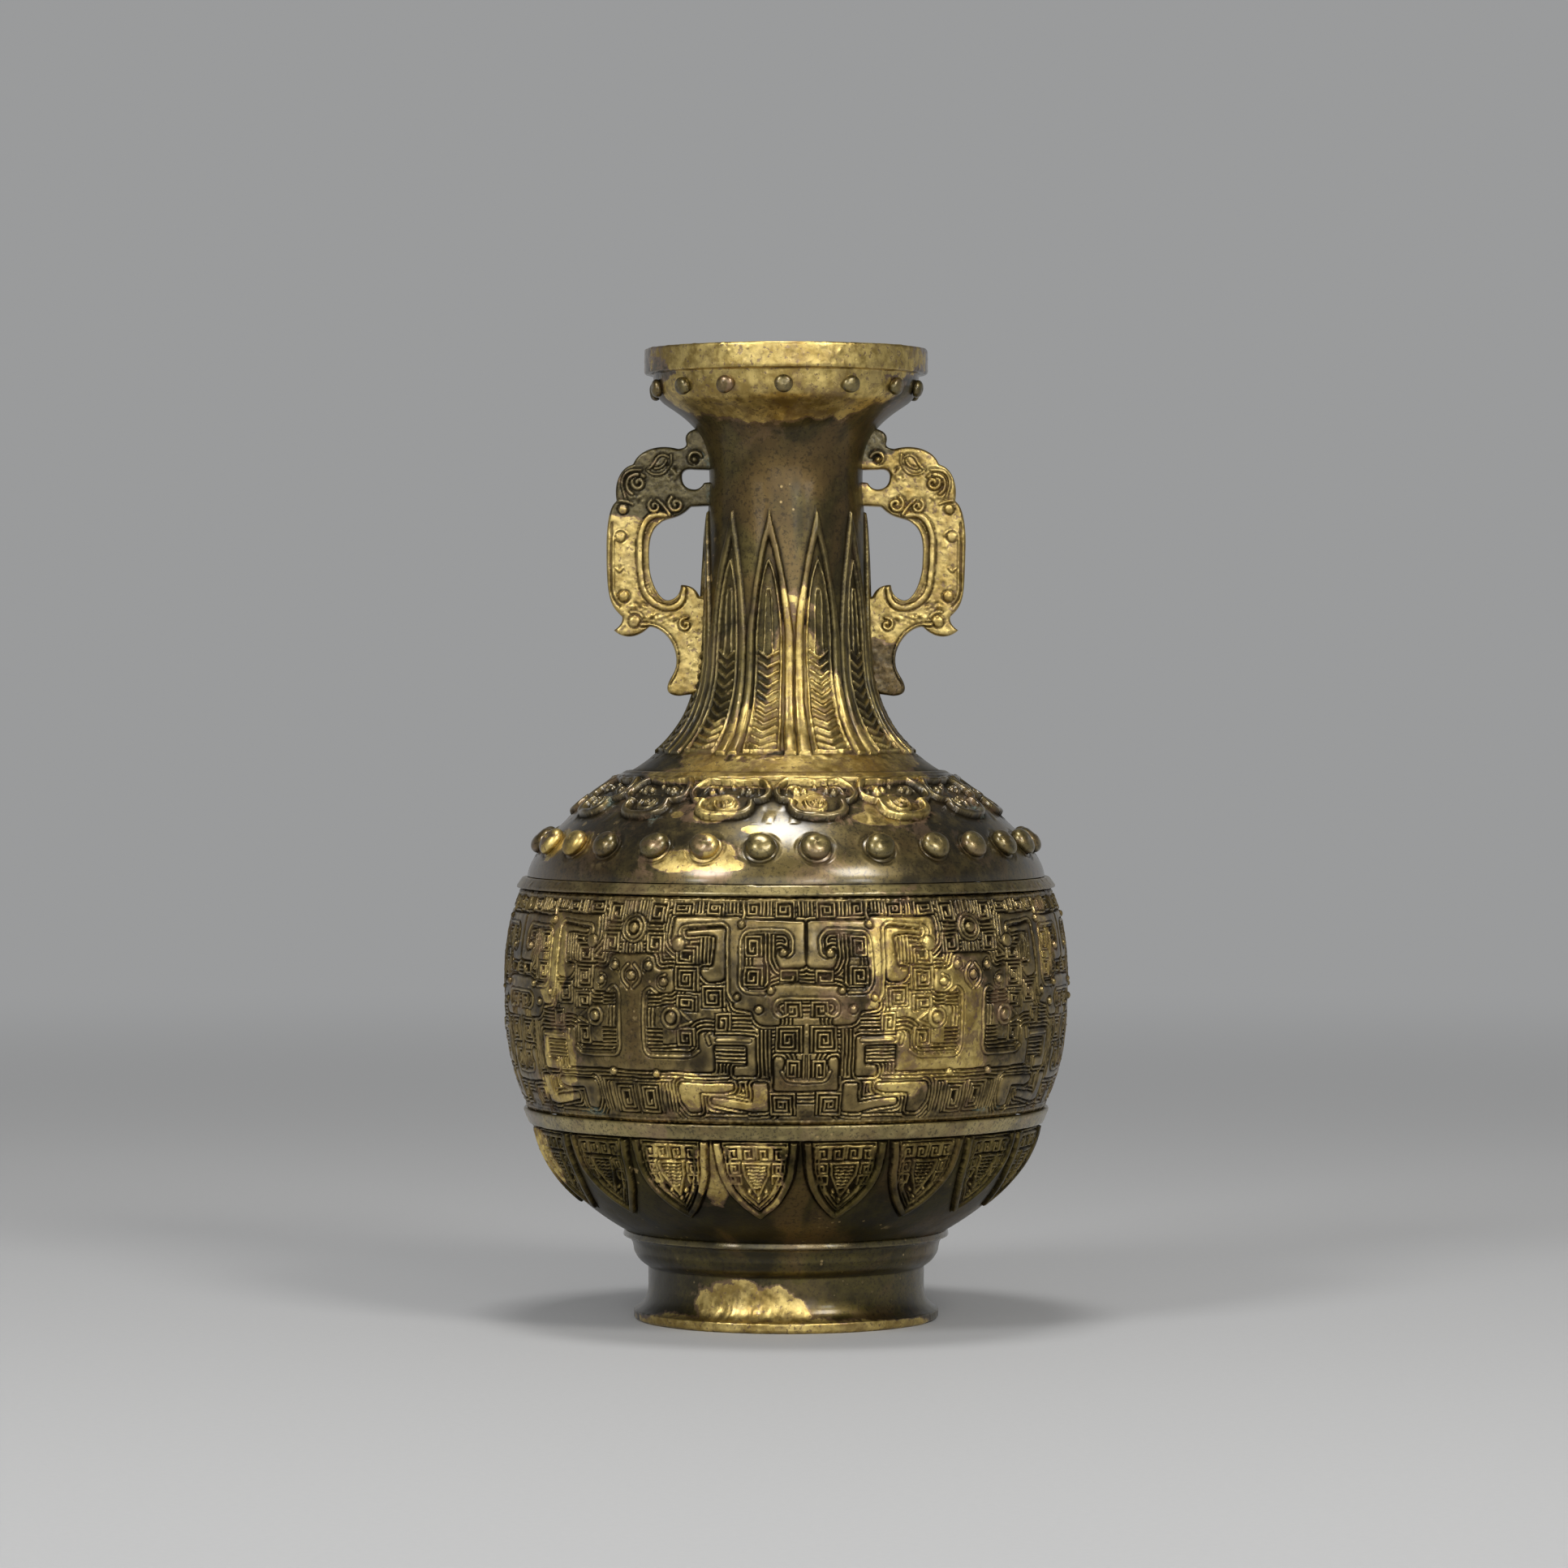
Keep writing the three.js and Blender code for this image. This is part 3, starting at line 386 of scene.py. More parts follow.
BARS = [
    (24.4, 47.9, 26.6, 50.6, "up"), (15.9, 48.2, 19.3, 50.6, "up"),
    (8.1, 47.5, 10.7, 50.6, "up"), (0.0, 47.5, 2.9, 50.6, "up"),
    (7.6, 38.0, 10.3, 43.4, "up"), (22.2, 36.6, 24.9, 42.6, "up"),
    (38.7, 47.6, 42.4, 50.6, "up"), (38.7, 38.9, 42.4, 41.4, "up"),
    (34.0, 43.7, 38.0, 45.9, "across"), (14.6, 13.9, 21.2, 17.7, "across"),
    (33.6, 17.0, 37.6, 22.0, "across"), (13.0, 22.0, 17.4, 25.2, "across"),
    (18.5, 10.0, 29.0, 11.7, "across"), (31.2, 2.4, 34.8, 9.0, "up"),
    (9.0, 32.4, 10.2, 36.6, "up"), (14.4, 0.4, 24.6, 2.6, "across"),
    (33.8, 26.6, 37.4, 30.0, "across"), (8.4, 11.0, 11.6, 22.0, "up"),
    (0.0, 10.4, 1.9, 16.2, "up"),
]
print("bands:", len(BANDS), "frets:", len(FRETS), "bars:", len(BARS))

# %% Carving the mask
mask = Sheet(0, MASK_HALF, 0, FRIEZE_HEIGHT)
from_bands = np.full(mask.level.shape, 3.0)
for band in BANDS:
    loop = rounded(mask_points(*band), 0.7, closed=True)
    from_bands = np.minimum(from_bands, mask.outside_distance(loop))


def fine_lines(distance):
    """Ridges side by side, a fret's pitch apart, with rounded backs."""
    phase = np.abs((distance / FRET_PITCH) % 1 - 0.62) / (0.5 * LINE_WIDTH / FRET_PITCH)
    return np.where(phase < 1, -0.02 - 0.16 * phase ** 2, GROUND)


mask.level = fine_lines(from_bands)
x, y = mask.x[None, :] + NOSE, mask.y[:, None]
for left, bottom, right, top, way in BARS:
    here = (x > left) & (x < right) & (y > bottom) & (y < top)
    mask.put(here, fine_lines(x - left if way == "up" else y - bottom))
for left, bottom, right, top in FRETS:
    here = (x > left - 0.5) & (x < right + 0.5) & (y > bottom - 0.5) & (y < top + 0.5)
    mask.put(here, GROUND)
    mask.ridge(fret(left, bottom, right, top, FRET_PITCH) - (NOSE, 0), LINE_WIDTH, -0.02)
mask.put((from_bands > 0) & (from_bands < 0.32), GROUND - 0.08)
mask.put(from_bands <= 0, -0.32 * np.clip(1 + from_bands / 0.75, 0, 1) ** 2)
for line in RAISED_LINES:
    mask.ridge(rounded(mask_points(*line)), 0.62, 0.22, -0.34)
for across, up, radius in BALLS:
    mask.dome(across - NOSE, up, radius, 0.75 if radius < 1.4 else 0.5)
mask.ring(31.6 - NOSE, 24.2, 2.0, 0.8, 0.25)
mask.dome(MASK_HALF, 33.6, 1.05, 0.8)
mask.put(np.hypot(mask.x[None, :] - MASK_HALF, y - ROSETTE) < 3.5, GROUND)
mask.ring(MASK_HALF, ROSETTE, 2.95, 0.75, 0.1)
mask.ring(MASK_HALF, ROSETTE, 2.05, 0.75, 0.25)
mask.dome(MASK_HALF, ROSETTE, 1.2, 0.9)
for up, tip in ((35.2, 22.6), (36.1, 21.9), (37.0, 22.4)):
    mask.cut(mask_points((24.4, up), (tip, up)), 0.4, 0.35)
for rail in RAILS:
    off = np.abs(y - rail)
    mask.put(off < RAIL_WIDTH / 2, 0.05 - 0.3 * (2 * off / RAIL_WIDTH) ** 2)
mask.put(y < RAILS[0], np.maximum(mask.level, -0.05))
mask.roughen(from_bands > 0, 0.7, 0.045, 5)
mask.roughen(from_bands <= 0, 1.6, 0.02, 6)
print("frieze sheet", mask.level.shape, "heights", mask.level.min(), mask.level.max())

# %% [markdown]
# ## Leaves, cloud heads and lappets
#
# Three more motifs hang from or stand on the plain zones: eleven pointed leaves up the neck,
# fourteen cloud heads under the collar and eighteen lappets on the bowl. Each has a smooth,
# rounded border that stands proud of the wall, and finer lines inside. They are drawn on
# sheets of their own with the same strokes.

# %% A leaf of the neck
def mirrored(points):
    return np.vstack([points, (np.array(points) * (-1, 1))[::-1]])


def border(sheet, outer, inner, top, ground, groove=0.4, groove_level=-0.45):
    """Cuts round a loop, raises its rounded border and lowers the field inside it."""
    out, into = sheet.outside_distance(outer), sheet.outside_distance(inner)
    sheet.put((out > 0) & (out < groove), groove_level)
    share = np.clip(-out / np.maximum(into - out, 0.05), 0, 1)
    sheet.put((out <= 0) & (into > 0), top * (1 - 0.42 * np.abs(2 * share - 1) ** 3))
    sheet.put(into <= 0, ground)
    return into


LEAF_REFERENCE = 24.0
LEAF_HALF = math.radians(15.0) * LEAF_REFERENCE
leaf_bottom, leaf_shoulder, leaf_tip = height_to_length(NECK_LINE, [134.2, 161.2, 191.7])
shoulder_at, tip_at = leaf_shoulder - leaf_bottom, leaf_tip - leaf_bottom
leaf_bend = shoulder_at * 0.55 + tip_at * 0.45
CHEVRON_TOP, CHEVRON_STEP, CHEVRON_HALF = shoulder_at - 3.0, 2.35, 2.35


def leaf_loop(half, bottom, tip, narrow=1.0):
    side = bend((half * narrow, shoulder_at), (half * 0.85, leaf_bend), (0, tip))
    return mirrored(np.vstack([[(half, bottom)], side]))


leaf = Sheet(-LEAF_HALF, LEAF_HALF, -3, tip_at + 4)
field = border(leaf, leaf_loop(6.1, 0, tip_at), leaf_loop(4.1, -2, tip_at - 6.5), 0.85, -0.42,
               0.45, -0.55)
leaf.put(leaf.y[:, None] < 0, 0.12)
leaf.ridge(joined(leaf_loop(3.15, 1.2, tip_at - 12)), 0.62, 0.62)
leaf.ridge(leaf_loop(1.3, CHEVRON_TOP - 1, tip_at - 19, 0.75), 0.5, 0.4)
for i, y in enumerate(np.arange(2.2, CHEVRON_TOP, CHEVRON_STEP)):
    lean = 0.12 * math.sin(5.1 * i)
    leaf.ridge(np.array([(-CHEVRON_HALF, y + 1.5 + lean), (0, y),
                         (CHEVRON_HALF, y + 1.5 - lean)]), 0.85, 0.55)
leaf.roughen(field < 0, 0.8, 0.05, 7)
print("leaf sheet", leaf.level.shape, "chevrons up to", round(CHEVRON_TOP, 1))

# %% A cloud head of the shoulder
CLOUD_REFERENCE = 50.0
CLOUD_LENGTH = 14.8


def cloud_loop(top, bottom, inset):
    """Half of it is drawn, from the tip of the lower lobe up to the top, then mirrored."""
    notch = top - (top - bottom) * 0.6
    wide, lobe, neck = 13.4 - inset, 9.4 - inset, 7.9 - inset
    side = np.vstack([
        cubic((0, bottom), (lobe * 0.8, bottom), (lobe, (bottom + notch) / 2), (neck, notch)),
        cubic((neck, notch), (wide - 0.4, notch - 0.5), (wide + 1.6, (notch + top) / 2),
              (wide * 0.72, top)),
        [(0, top - 0.7)],
    ])
    return mirrored(side * (DEGREE * CLOUD_REFERENCE, 1))


cloud = Sheet(-11.3, 11.3, -CLOUD_LENGTH - 1.5, 1.2)
into = border(cloud, cloud_loop(0, -CLOUD_LENGTH, 0), cloud_loop(-1.6, -CLOUD_LENGTH + 1.9, 2.2),
              1.4, -0.6, 0.5, -0.6)
cloud.roughen(into < 0.1, 0.9, 0.08, 8)
for side in (-1, 1):
    bean = [(side * 7.6, -5.2), (side * 7.3, -3.4), (side * 5.0, -2.5), (side * 3.0, -3.4)]
    cloud.ridge(rounded(bean), 0.7, 0.35, -0.6)
    cloud.dome(side * 4.9, -4.7, 1.5, 1.1, -0.6)
    cloud.dome(side * 3.1, -4.4, 1.0, 0.9, -0.6)
cloud.dome(0, -3.0, 0.75, 0.7, -0.45)
cloud.ridge(rounded([(-2.2, -6.2), (-0.8, -5.8), (0.8, -5.8), (2.2, -6.2)]), 0.6, 0.2, -0.45)
cloud.curl(0.1, -9.0, 3.3, 170, 1.0, 0.95, 0.65, -0.6)
cloud.ridge(rounded([(-1.4, -8.4), (-0.9, -9.9), (0.9, -10.0), (1.5, -8.6), (0.2, -7.9)]), 0.7,
            0.6, -0.6)
print("cloud head sheet", cloud.level.shape)

# %% A lappet of the bowl
LAPPET_REFERENCE = 52.0
LAPPET_LENGTH, LAPPET_HALF = 22.2, 9.3


def lappet_loop(top, bottom, half):
    side, turn = top - (top - bottom) * 0.36, top - (top - bottom) * 0.72
    half *= DEGREE * LAPPET_REFERENCE
    return mirrored(np.vstack([
        bend((0, bottom), (half * 0.74, turn), (half * 0.92, side), 20), [(half, top)]]))


lappet = Sheet(-LAPPET_HALF, LAPPET_HALF, -LAPPET_LENGTH - 1.5, 0.5)
field = border(lappet, lappet_loop(0, -LAPPET_LENGTH, LAPPET_HALF),
               lappet_loop(0.4, -LAPPET_LENGTH + 2.3, LAPPET_HALF - 1.55), 0.9, -0.4, 0.45, -0.5)
lappet.put((np.abs(field + 0.55) < 0.24) | (np.abs(field + 1.35) < 0.26), 0.32)
for left in (-6.0, -2.95, 0.25, 3.3):
    lappet.ridge(fret(left, -3.9, left + 2.6, -1.1, 0.85), 0.5, 0.42)
for side in (-1, 1):
    for near, far, low, high in ((3.5, 5.9, -7.6, -5.1), (3.3, 5.5, -10.7, -8.3)):
        box = (near, low, far, high) if side > 0 else (-far, low, -near, high)
        lappet.ridge(fret(*box, 0.8), 0.48, 0.4)
triangle = np.array([(-2.8, -5.0), (2.8, -5.0), (2.5, -8.2), (0, -14.2), (-2.5, -8.2)])
lappet.ridge(joined(triangle), 0.6, 0.55, -0.3)
for i in range(7):
    y, half = -6.0 - 0.95 * i, 1.9 - 0.05 * i - 0.27 * max(i - 2, 0)
    x = np.linspace(-half, half, 13)
    lappet.ridge(np.column_stack([x, y + 0.12 * np.sin(4.5 * x + i)]), 0.48, 0.4)
lappet.ridge(np.array([(-3.9, -11.6), (-3.7, -12.6), (0, -18.0), (3.7, -12.6), (3.9, -11.6)]),
             0.6, 0.5)
lappet.ridge(np.array([(-2.3, -13.2), (0, -16.4), (2.3, -13.2)]), 0.5, 0.35)
for x, y in ((0, -15.2), (-1.75, -12.9), (1.75, -12.9)):
    lappet.dome(x, y, 0.5, 0.75, -0.2)
lappet.roughen(field < 0, 0.7, 0.05, 9)
print("lappet sheet", lappet.level.shape)

# %% [markdown]
# ## Bending a sheet onto the wall
#
# A wall is a fine grid over the angle round the vase and the length along the outline. Each
# point is lifted along the wall's own normal by the height that the motifs give there, so
# the carving is real relief that catches the light and shows in the silhouette. The grid is
# a quarter of a millimetre where there is carving and coarser where the wall is plain.
#
# The patina needs to know where the surface is hollow and where it stands out, so those two
# are measured against a blurred copy of the heights and kept with each vertex. So are the
# places of the gilding and of the green corrosion. What stands out gets a lighter colour,
# which is partly rubbed wear and partly a painted highlight on the crests.

# %% Unevenness, gilding and corrosion as soft fields
def lumps(degrees, z, size, seed):
    """A smooth random field from -1 to 1 whose lumps are about a size wide in millimetres."""
    source = np.random.default_rng(seed)
    total = 0.0
    for _ in range(9):
        turns = source.integers(1, max(2, int(360 / size)))
        rise = source.normal(0, 4.5 / size)
        total = total + np.sin(np.radians(degrees) * turns + z * rise + source.uniform(0, 7))
    return total / 4.5


# Splashes of gilding: angle, height, half width in degrees, half height.
SPLASHES = [
    (0, 228, 78, 7), (-8, 219, 66, 7.5), (0, 129.5, 48, 3.2), (14, 131, 34, 4),
    (6, 150, 17, 19), (24, 143, 12, 9), (-15, 139, 12, 7), (50, 135, 18, 5), (-38, 136, 14, 5),
    (-20, 122.0, 6, 3.0), (7, 123.6, 5, 2.6), (32, 121.6, 10, 3.4), (24, 119.8, 7, 1.6),
    (-24, 110.2, 8.5, 2.6), (-17, 111.4, 6, 3.6), (-13, 109.4, 4, 1.4),
    (-8.5, 117.3, 2.4, 0.9), (-30, 120.5, 2, 0.8), (-70, 113, 5, 3.5), (-57, 113.6, 4, 3),
    (-54, 87, 4.5, 12), (-52, 65, 5.5, 7), (-56, 57, 6, 3.6), (-13, 57, 11, 3.6), (-22, 60, 6, 3),
    (24, 92, 9, 9), (30, 78, 14, 13), (33, 66, 12, 8), (22, 60, 7, 4), (66, 90, 4, 8),
    (-27, 40, 5, 6.5), (-7, 39, 5.5, 7.5), (-17, 38, 3.6, 8), (-78, 40, 8, 6),
    (-18, 5, 22, 7), (-2, 4, 12, 5), (-20, 0.5, 56, 3.4), (32, 0.3, 34, 2.2),
    (150, 90, 14, 12), (196, 66, 16, 10), (230, 98, 9, 8), (118, 60, 10, 9), (172, 226, 50, 6),
    (170, 131, 30, 4), (158, 146, 12, 12), (205, 112, 9, 4), (140, 36, 9, 8), (190, 4, 30, 6),
    (262, 78, 8, 10), (100, 111, 7, 3),
]
# Spots of green corrosion, the same way.
GREEN_SPOTS = [
    (-37, 118.6, 3.0, 2.4), (-88, 60, 10, 20), (92, 80, 8, 24), (-64, 123, 8, 3),
    (90, 160, 12, 26), (-90, 160, 12, 26), (62, 121, 6, 2.5), (-96, 118, 14, 7),
    (48, 52.6, 9, 1.6), (-44, 52, 7, 1.6), (180, 100, 11, 8), (210, 40, 10, 6), (88, 205, 16, 6),
    (-88, 205, 16, 6), (140, 112, 7, 4),
]


def off_middle(degrees, middle, step):
    """The angle from the nearest of the middles that stand a step apart."""
    return (degrees - middle + step / 2) % step - step / 2


def splashes(degrees, z, places):
    """How far inside the nearest splash each spot is: above 0 inside, below 0 outside."""
    best = np.full(np.broadcast(degrees, z).shape, -1.0)
    for angle, height, wide, high in places:
        turn = off_middle(degrees, angle, 360)
        best = np.maximum(best, 1 - np.hypot(turn / wide, (z - height) / high))
    return np.clip(best, -1, 1)


print("splashes of gilding:", len(SPLASHES), "green spots:", len(GREEN_SPOTS))

# %% A mesh from a grid of points
UV_MARGIN = 0.004


def placed(name, data):
    """An object for some data, in the scene."""
    piece = bpy.data.objects.new(name, data)
    bpy.context.scene.collection.objects.link(piece)
    return piece


def mesh_of(name, points, faces, marks, uv, finish, node):
    """Makes a smooth mesh object from millimetres: marks for each point, uv for each corner."""
    mesh = bpy.data.meshes.new(name)
    mesh.vertices.add(len(points))
    mesh.vertices.foreach_set("co", (points * MM).astype(np.float32).ravel())
    mesh.loops.add(faces.size)
    mesh.loops.foreach_set("vertex_index", faces.astype(np.int32).ravel())
    mesh.polygons.add(len(faces))
    mesh.polygons.foreach_set("loop_start", np.arange(0, faces.size, faces.shape[1],
                                                      dtype=np.int32))
    mesh.update(calc_edges=True)
    mesh.shade_smooth()
    for title, values in marks.items():
        layer = mesh.attributes.new(title, "FLOAT", "POINT")
        layer.data.foreach_set("value", np.asarray(values, np.float32).ravel())
    mesh.uv_layers.new(name="OFBake").data.foreach_set("uv", uv.astype(np.float32).ravel())
    mesh.materials.append(finish)
    piece = placed(name, mesh)
    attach(piece, "root")
    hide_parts(node)


def grid_mesh(name, points, marks, finish, node, inside=False):
    """A mesh from rows and columns of points, facing outwards where columns turn left."""
    rows, columns = points.shape[:2]
    corner = (np.arange(rows - 1)[:, None] * columns + np.arange(columns - 1)).ravel()
    faces = np.column_stack([corner, corner + 1, corner + columns + 1, corner + columns])
    if inside:
        faces = faces[:, ::-1]
    across, up = np.meshgrid(*(np.linspace(UV_MARGIN, 1 - UV_MARGIN, n) for n in (columns, rows)))
    uv = np.column_stack([across.ravel(), up.ravel()])[faces.ravel()]
    mesh_of(name, points.reshape(-1, 3), faces, marks, uv, finish, node)


print("a grid leaves a margin of", UV_MARGIN, "in its tile")

# %% Spinning an outline round the vase
EVEN_WIDTH = 1.1  # the blur that hollows and raised lines are measured against
HOLLOW_FULL, RAISED_FULL = 0.3, 0.32  # the depth and the height at which a mark is full


def around(degrees, radius, z):
    """Points of a circle, at angles from the front."""
    angle = np.radians(degrees)
    return np.stack([radius * np.sin(angle), -radius * np.cos(angle), z + 0 * angle], axis=-1)


def spun(name, line, start, end, pitch, relief, finish, node, slot="cast_bronze", inside=False,
         columns=None):
    """Spins a line between two angles and lifts it by relief(degrees, lengths, heights)."""
    length = lengths_along(line)[-1]
    rows = max(3, int(length / pitch) + 1)
    along = np.linspace(0, length, rows)
    radius, z = spot_along(line, along)
    tangent = np.gradient(np.column_stack([radius, z]), axis=0)
    tangent /= np.linalg.norm(tangent, axis=1)[:, None]
    columns = columns or int(radius.max() * math.radians(end - start) / pitch) + 1
    degrees = np.linspace(start, end, columns)[None, :]
    heights = relief(degrees, along[:, None], z[:, None]) + np.zeros((rows, columns))
    points = around(degrees + 0 * heights, radius[:, None] + heights * tangent[:, 1:],
                    z[:, None] - heights * tangent[:, :1])
    smooth = blurred(heights, max(1, int(EVEN_WIDTH / pitch)))
    on_borders = np.clip((heights - 0.45) / 0.25, 0, 1)
    marks = {
        "hollow": np.clip((smooth - heights) / HOLLOW_FULL + np.clip(-0.2 - heights, 0, 0.5), 0, 1),
        # Raised spots get the lighter rubbed colour, partly wear and partly a painted highlight.
        "raised": np.clip((heights - smooth) / RAISED_FULL, 0, 1) * (1 - 0.6 * on_borders),
        "gilt": splashes(degrees, z[:, None], SPLASHES) + 0.36 * np.clip(heights, -0.8, 0.7),
        "green": splashes(degrees, z[:, None], GREEN_SPOTS),
    }
    grid_mesh(name, points, marks, finish, node, inside)


def panels(name, count, start, line, *rest, **more):
    """Equal panels side by side round the vase, numbered from 1."""
    step = 360.0 / count
    for i in range(count):
        begin = start + i * step
        spun(f"{name}_{i + 1}", line, begin, begin + step, *rest, **more)


def plain(degrees, lengths, z):
    """No carving, only the slight unevenness of a hand-finished casting."""
    return 0.05 * lumps(degrees, z, 30, 3) + 0.02 * lumps(degrees, z, 9, 4)


print("the front of the rim is at", around(0.0, 33.6, 230.0))

# %% [markdown]
# ## Old bronze with worn gilding
#
# The metal has three layers of history. The cast bronze has toned to a dark olive brown,
# blacker in the cuts and brighter on the lines, where the lighter colour on the crests is
# partly rubbed wear and partly a painted highlight. Over it lie splashes of mercury
# gilding with sharp, eaten edges and a copper-pink fringe. In sheltered corners and towards
# the handles there's a little green corrosion. Each layer is a shader node group with named
# inputs and outputs, so that every piece of the vase can wear it with its own values.
#
# Hands have rubbed and waxed some parts more than others, so each part gets a finish of its
# own: the shoulder shines under a coat of wax, and the bands and studs are rubbed to a lighter
# brass. The bowl is painted nearly black as shade for its downward face, and the lower band
# wears a lighter copy of the band finish as painted light.

# %% Helpers for writing nodes
class Wire:
    """An output of a node that can be added, subtracted and multiplied like a number."""

    def __init__(self, graph, socket):
        self.graph, self.socket = graph, socket

    def __add__(self, other):
        return self.graph.math("ADD", self, other)

    def __sub__(self, other):
        return self.graph.math("SUBTRACT", self, other)

    def __rsub__(self, other):
        return self.graph.math("SUBTRACT", other, self)

    def __mul__(self, other):
        return self.graph.math("MULTIPLY", self, other)


class Graph:
    """Adds nodes to a node tree and links them as they're made."""

    def __init__(self, tree):
        self.tree, self.place = tree, None

    def add(self, kind, inputs=None, **settings):
        """A node whose inputs are wires, numbers or colours of three numbers."""
        node = self.tree.nodes.new(kind)
        for key, value in settings.items():
            setattr(node, key, value)
        for key, value in (inputs or {}).items():
            if isinstance(value, Wire):
                self.tree.links.new(value.socket, node.inputs[key])
            else:
                node.inputs[key].default_value = (*value, 1) if type(value) is tuple else value
        return node

    def wire(self, kind, inputs=None, output=0, **settings):
        return Wire(self, self.add(kind, inputs, **settings).outputs[output])

    def group(self, tree, inputs):
        """A node group, as a dictionary of its outputs."""
        node = self.add("ShaderNodeGroup", {"Place": self.place, **inputs}, node_tree=tree)
        return {socket.name: Wire(self, socket) for socket in node.outputs}

    def math(self, operation, a, b=0.0, clamp=False):
        return self.wire("ShaderNodeMath", {0: a, 1: b}, operation=operation, use_clamp=clamp)

    def mix(self, share, a, b):
        """A colour between two colours."""
        return self.wire("ShaderNodeMix", {0: share, 6: a, 7: b}, 2, data_type="RGBA")

    def blend(self, share, a, b):
        """A value between two values."""
        return self.wire("ShaderNodeMix", {0: share, 2: a, 3: b})

    def noise(self, scale, detail=3.0, roughness=0.55, distortion=0.0):
        return self.wire("ShaderNodeTexNoise", {
            "Vector": self.place, "Scale": scale, "Detail": detail, "Roughness": roughness,
            "Distortion": distortion})

    def cells(self, scale):
        """Distance to the nearest of many scattered spots."""
        return self.wire("ShaderNodeTexVoronoi", {"Vector": self.place, "Scale": scale},
                         "Distance")

    def window(self, value, low, high):
        """Climbs softly from 0 at low to 1 at high."""
        return self.wire("ShaderNodeMapRange", {0: value, 1: low, 2: high},
                         interpolation_type="SMOOTHSTEP")


print("helpers:", [title for title in vars(Graph) if title[0] != "_"])

# %% Starting and ending a node group
def node_group(name, colors, values):
    """Starts a shader node group: its graph, and its named inputs as a dictionary."""
    tree = bpy.data.node_groups.new(name, "ShaderNodeTree")
    tree.interface.new_socket("Place", in_out="INPUT", socket_type="NodeSocketVector")
    for kind, titles in (("NodeSocketColor", colors), ("NodeSocketFloat", values)):
        for title in titles:
            tree.interface.new_socket(title, in_out="INPUT", socket_type=kind)
    sockets = tree.nodes.new("NodeGroupInput").outputs
    graph = Graph(tree)
    graph.place = Wire(graph, sockets["Place"])
    return graph, {title: Wire(graph, sockets[title]) for title in colors + values}


def finish_group(graph, results):
    """Ends a group: its output Color is a colour and all its others are values."""
    for title in results:
        kind = "NodeSocketColor" if title == "Color" else "NodeSocketFloat"
        graph.tree.interface.new_socket(title, in_out="OUTPUT", socket_type=kind)
    graph.add("NodeGroupOutput", results)
    print(graph.tree.name, "has", len(graph.tree.nodes), "nodes")
    return graph.tree

# %% The toned bronze
SPECK, SOOT_AND_SHADE = (0.02, 0.014, 0.006), (0.011, 0.0075, 0.0035)
graph, given = node_group("toned_bronze", ["Dark", "Middle", "Warm", "Rubbed And Highlit"],
                          ["Hollow", "Raised", "Sheen"])
clouds = graph.noise(38.0, 4.0, 0.6, 0.6)
mottle = graph.noise(210.0, 4.0, 0.65)
specks = graph.noise(1200.0, 3.0, 0.7)
warmth = graph.noise(26.0, 4.0, 0.6, 1.2)
tone = graph.window(graph.blend(0.4, clouds, mottle), 0.42, 0.6)
color = graph.mix(tone, given["Dark"], given["Middle"])
color = graph.mix(graph.window(warmth, 0.5, 0.64) * 0.6, color, given["Warm"])
color = graph.mix(graph.window(specks, 0.52, 0.62) * 0.62, color, SPECK)
# The raised crests get a lighter colour: partly rubbed wear, partly a painted highlight.
rubbed_and_highlit = given["Raised"] * graph.window(mottle, 0.3, 0.62)
color = graph.mix(rubbed_and_highlit * 0.85, color, given["Rubbed And Highlit"])
# Soot darkens the hollows, the patina of the cuts; on the studs the same mark is painted shade on
# the lower side of each head.
soot_and_shade = graph.math("POWER", given["Hollow"], 0.7)
color = graph.mix(soot_and_shade * 0.88, color, SOOT_AND_SHADE)
rough = given["Sheen"] + mottle * 0.24 + soot_and_shade * 0.3
rough = graph.math("SUBTRACT", rough, rubbed_and_highlit * 0.15, clamp=True)
toned_bronze = finish_group(graph, {"Color": color, "Roughness": rough})

# %% The worn gilding
GOLD_DIRT_AND_SHADE = (0.035, 0.022, 0.01)
graph, given = node_group("worn_gilding", ["Base", "Gold", "Old Gold", "Fringe"],
                          ["Field", "Hollow", "Base Roughness", "Wear", "Stain"])
broad = graph.noise(75.0, 3.0, 0.55, 1.0)
ragged = graph.noise(420.0, 4.0, 0.65)
edge = given["Field"] + (broad - 0.5) * 0.9 + (ragged - 0.5) * 0.45
pitted = graph.window(graph.noise(900.0, 3.0, 0.6), 0.58, 0.64)
thin = graph.window(graph.noise(190.0, 5.0, 0.7, 0.5), 0.49, 0.62)
lost = graph.math("MAXIMUM", pitted * 0.8, thin * given["Wear"])
leaf_mask = graph.window(edge, 0.03, 0.07) * (1.0 - lost)

few = graph.window(graph.noise(33.0, 2.0), 0.56, 0.66)
fleck = 1.0 - graph.window(graph.cells(150.0) + (ragged - 0.5) * 0.5, 0.09, 0.15)
crumb = 1.0 - graph.window(graph.cells(430.0), 0.1, 0.17)
fleck = graph.math("MAXIMUM", fleck, crumb) * few
fleck = fleck * graph.math("SUBTRACT", 1.0, given["Hollow"], clamp=True)

ghost = graph.window(graph.noise(85.0, 5.0, 0.72, 0.4), 0.54, 0.62)
near_gilding = graph.blend(graph.window(given["Field"], -0.95, -0.15), 0.45, 1.0)
ghost = ghost * (near_gilding * given["Stain"])
fringe = graph.math("MAXIMUM", graph.window(edge, -0.07, 0.02) * 0.55, ghost)

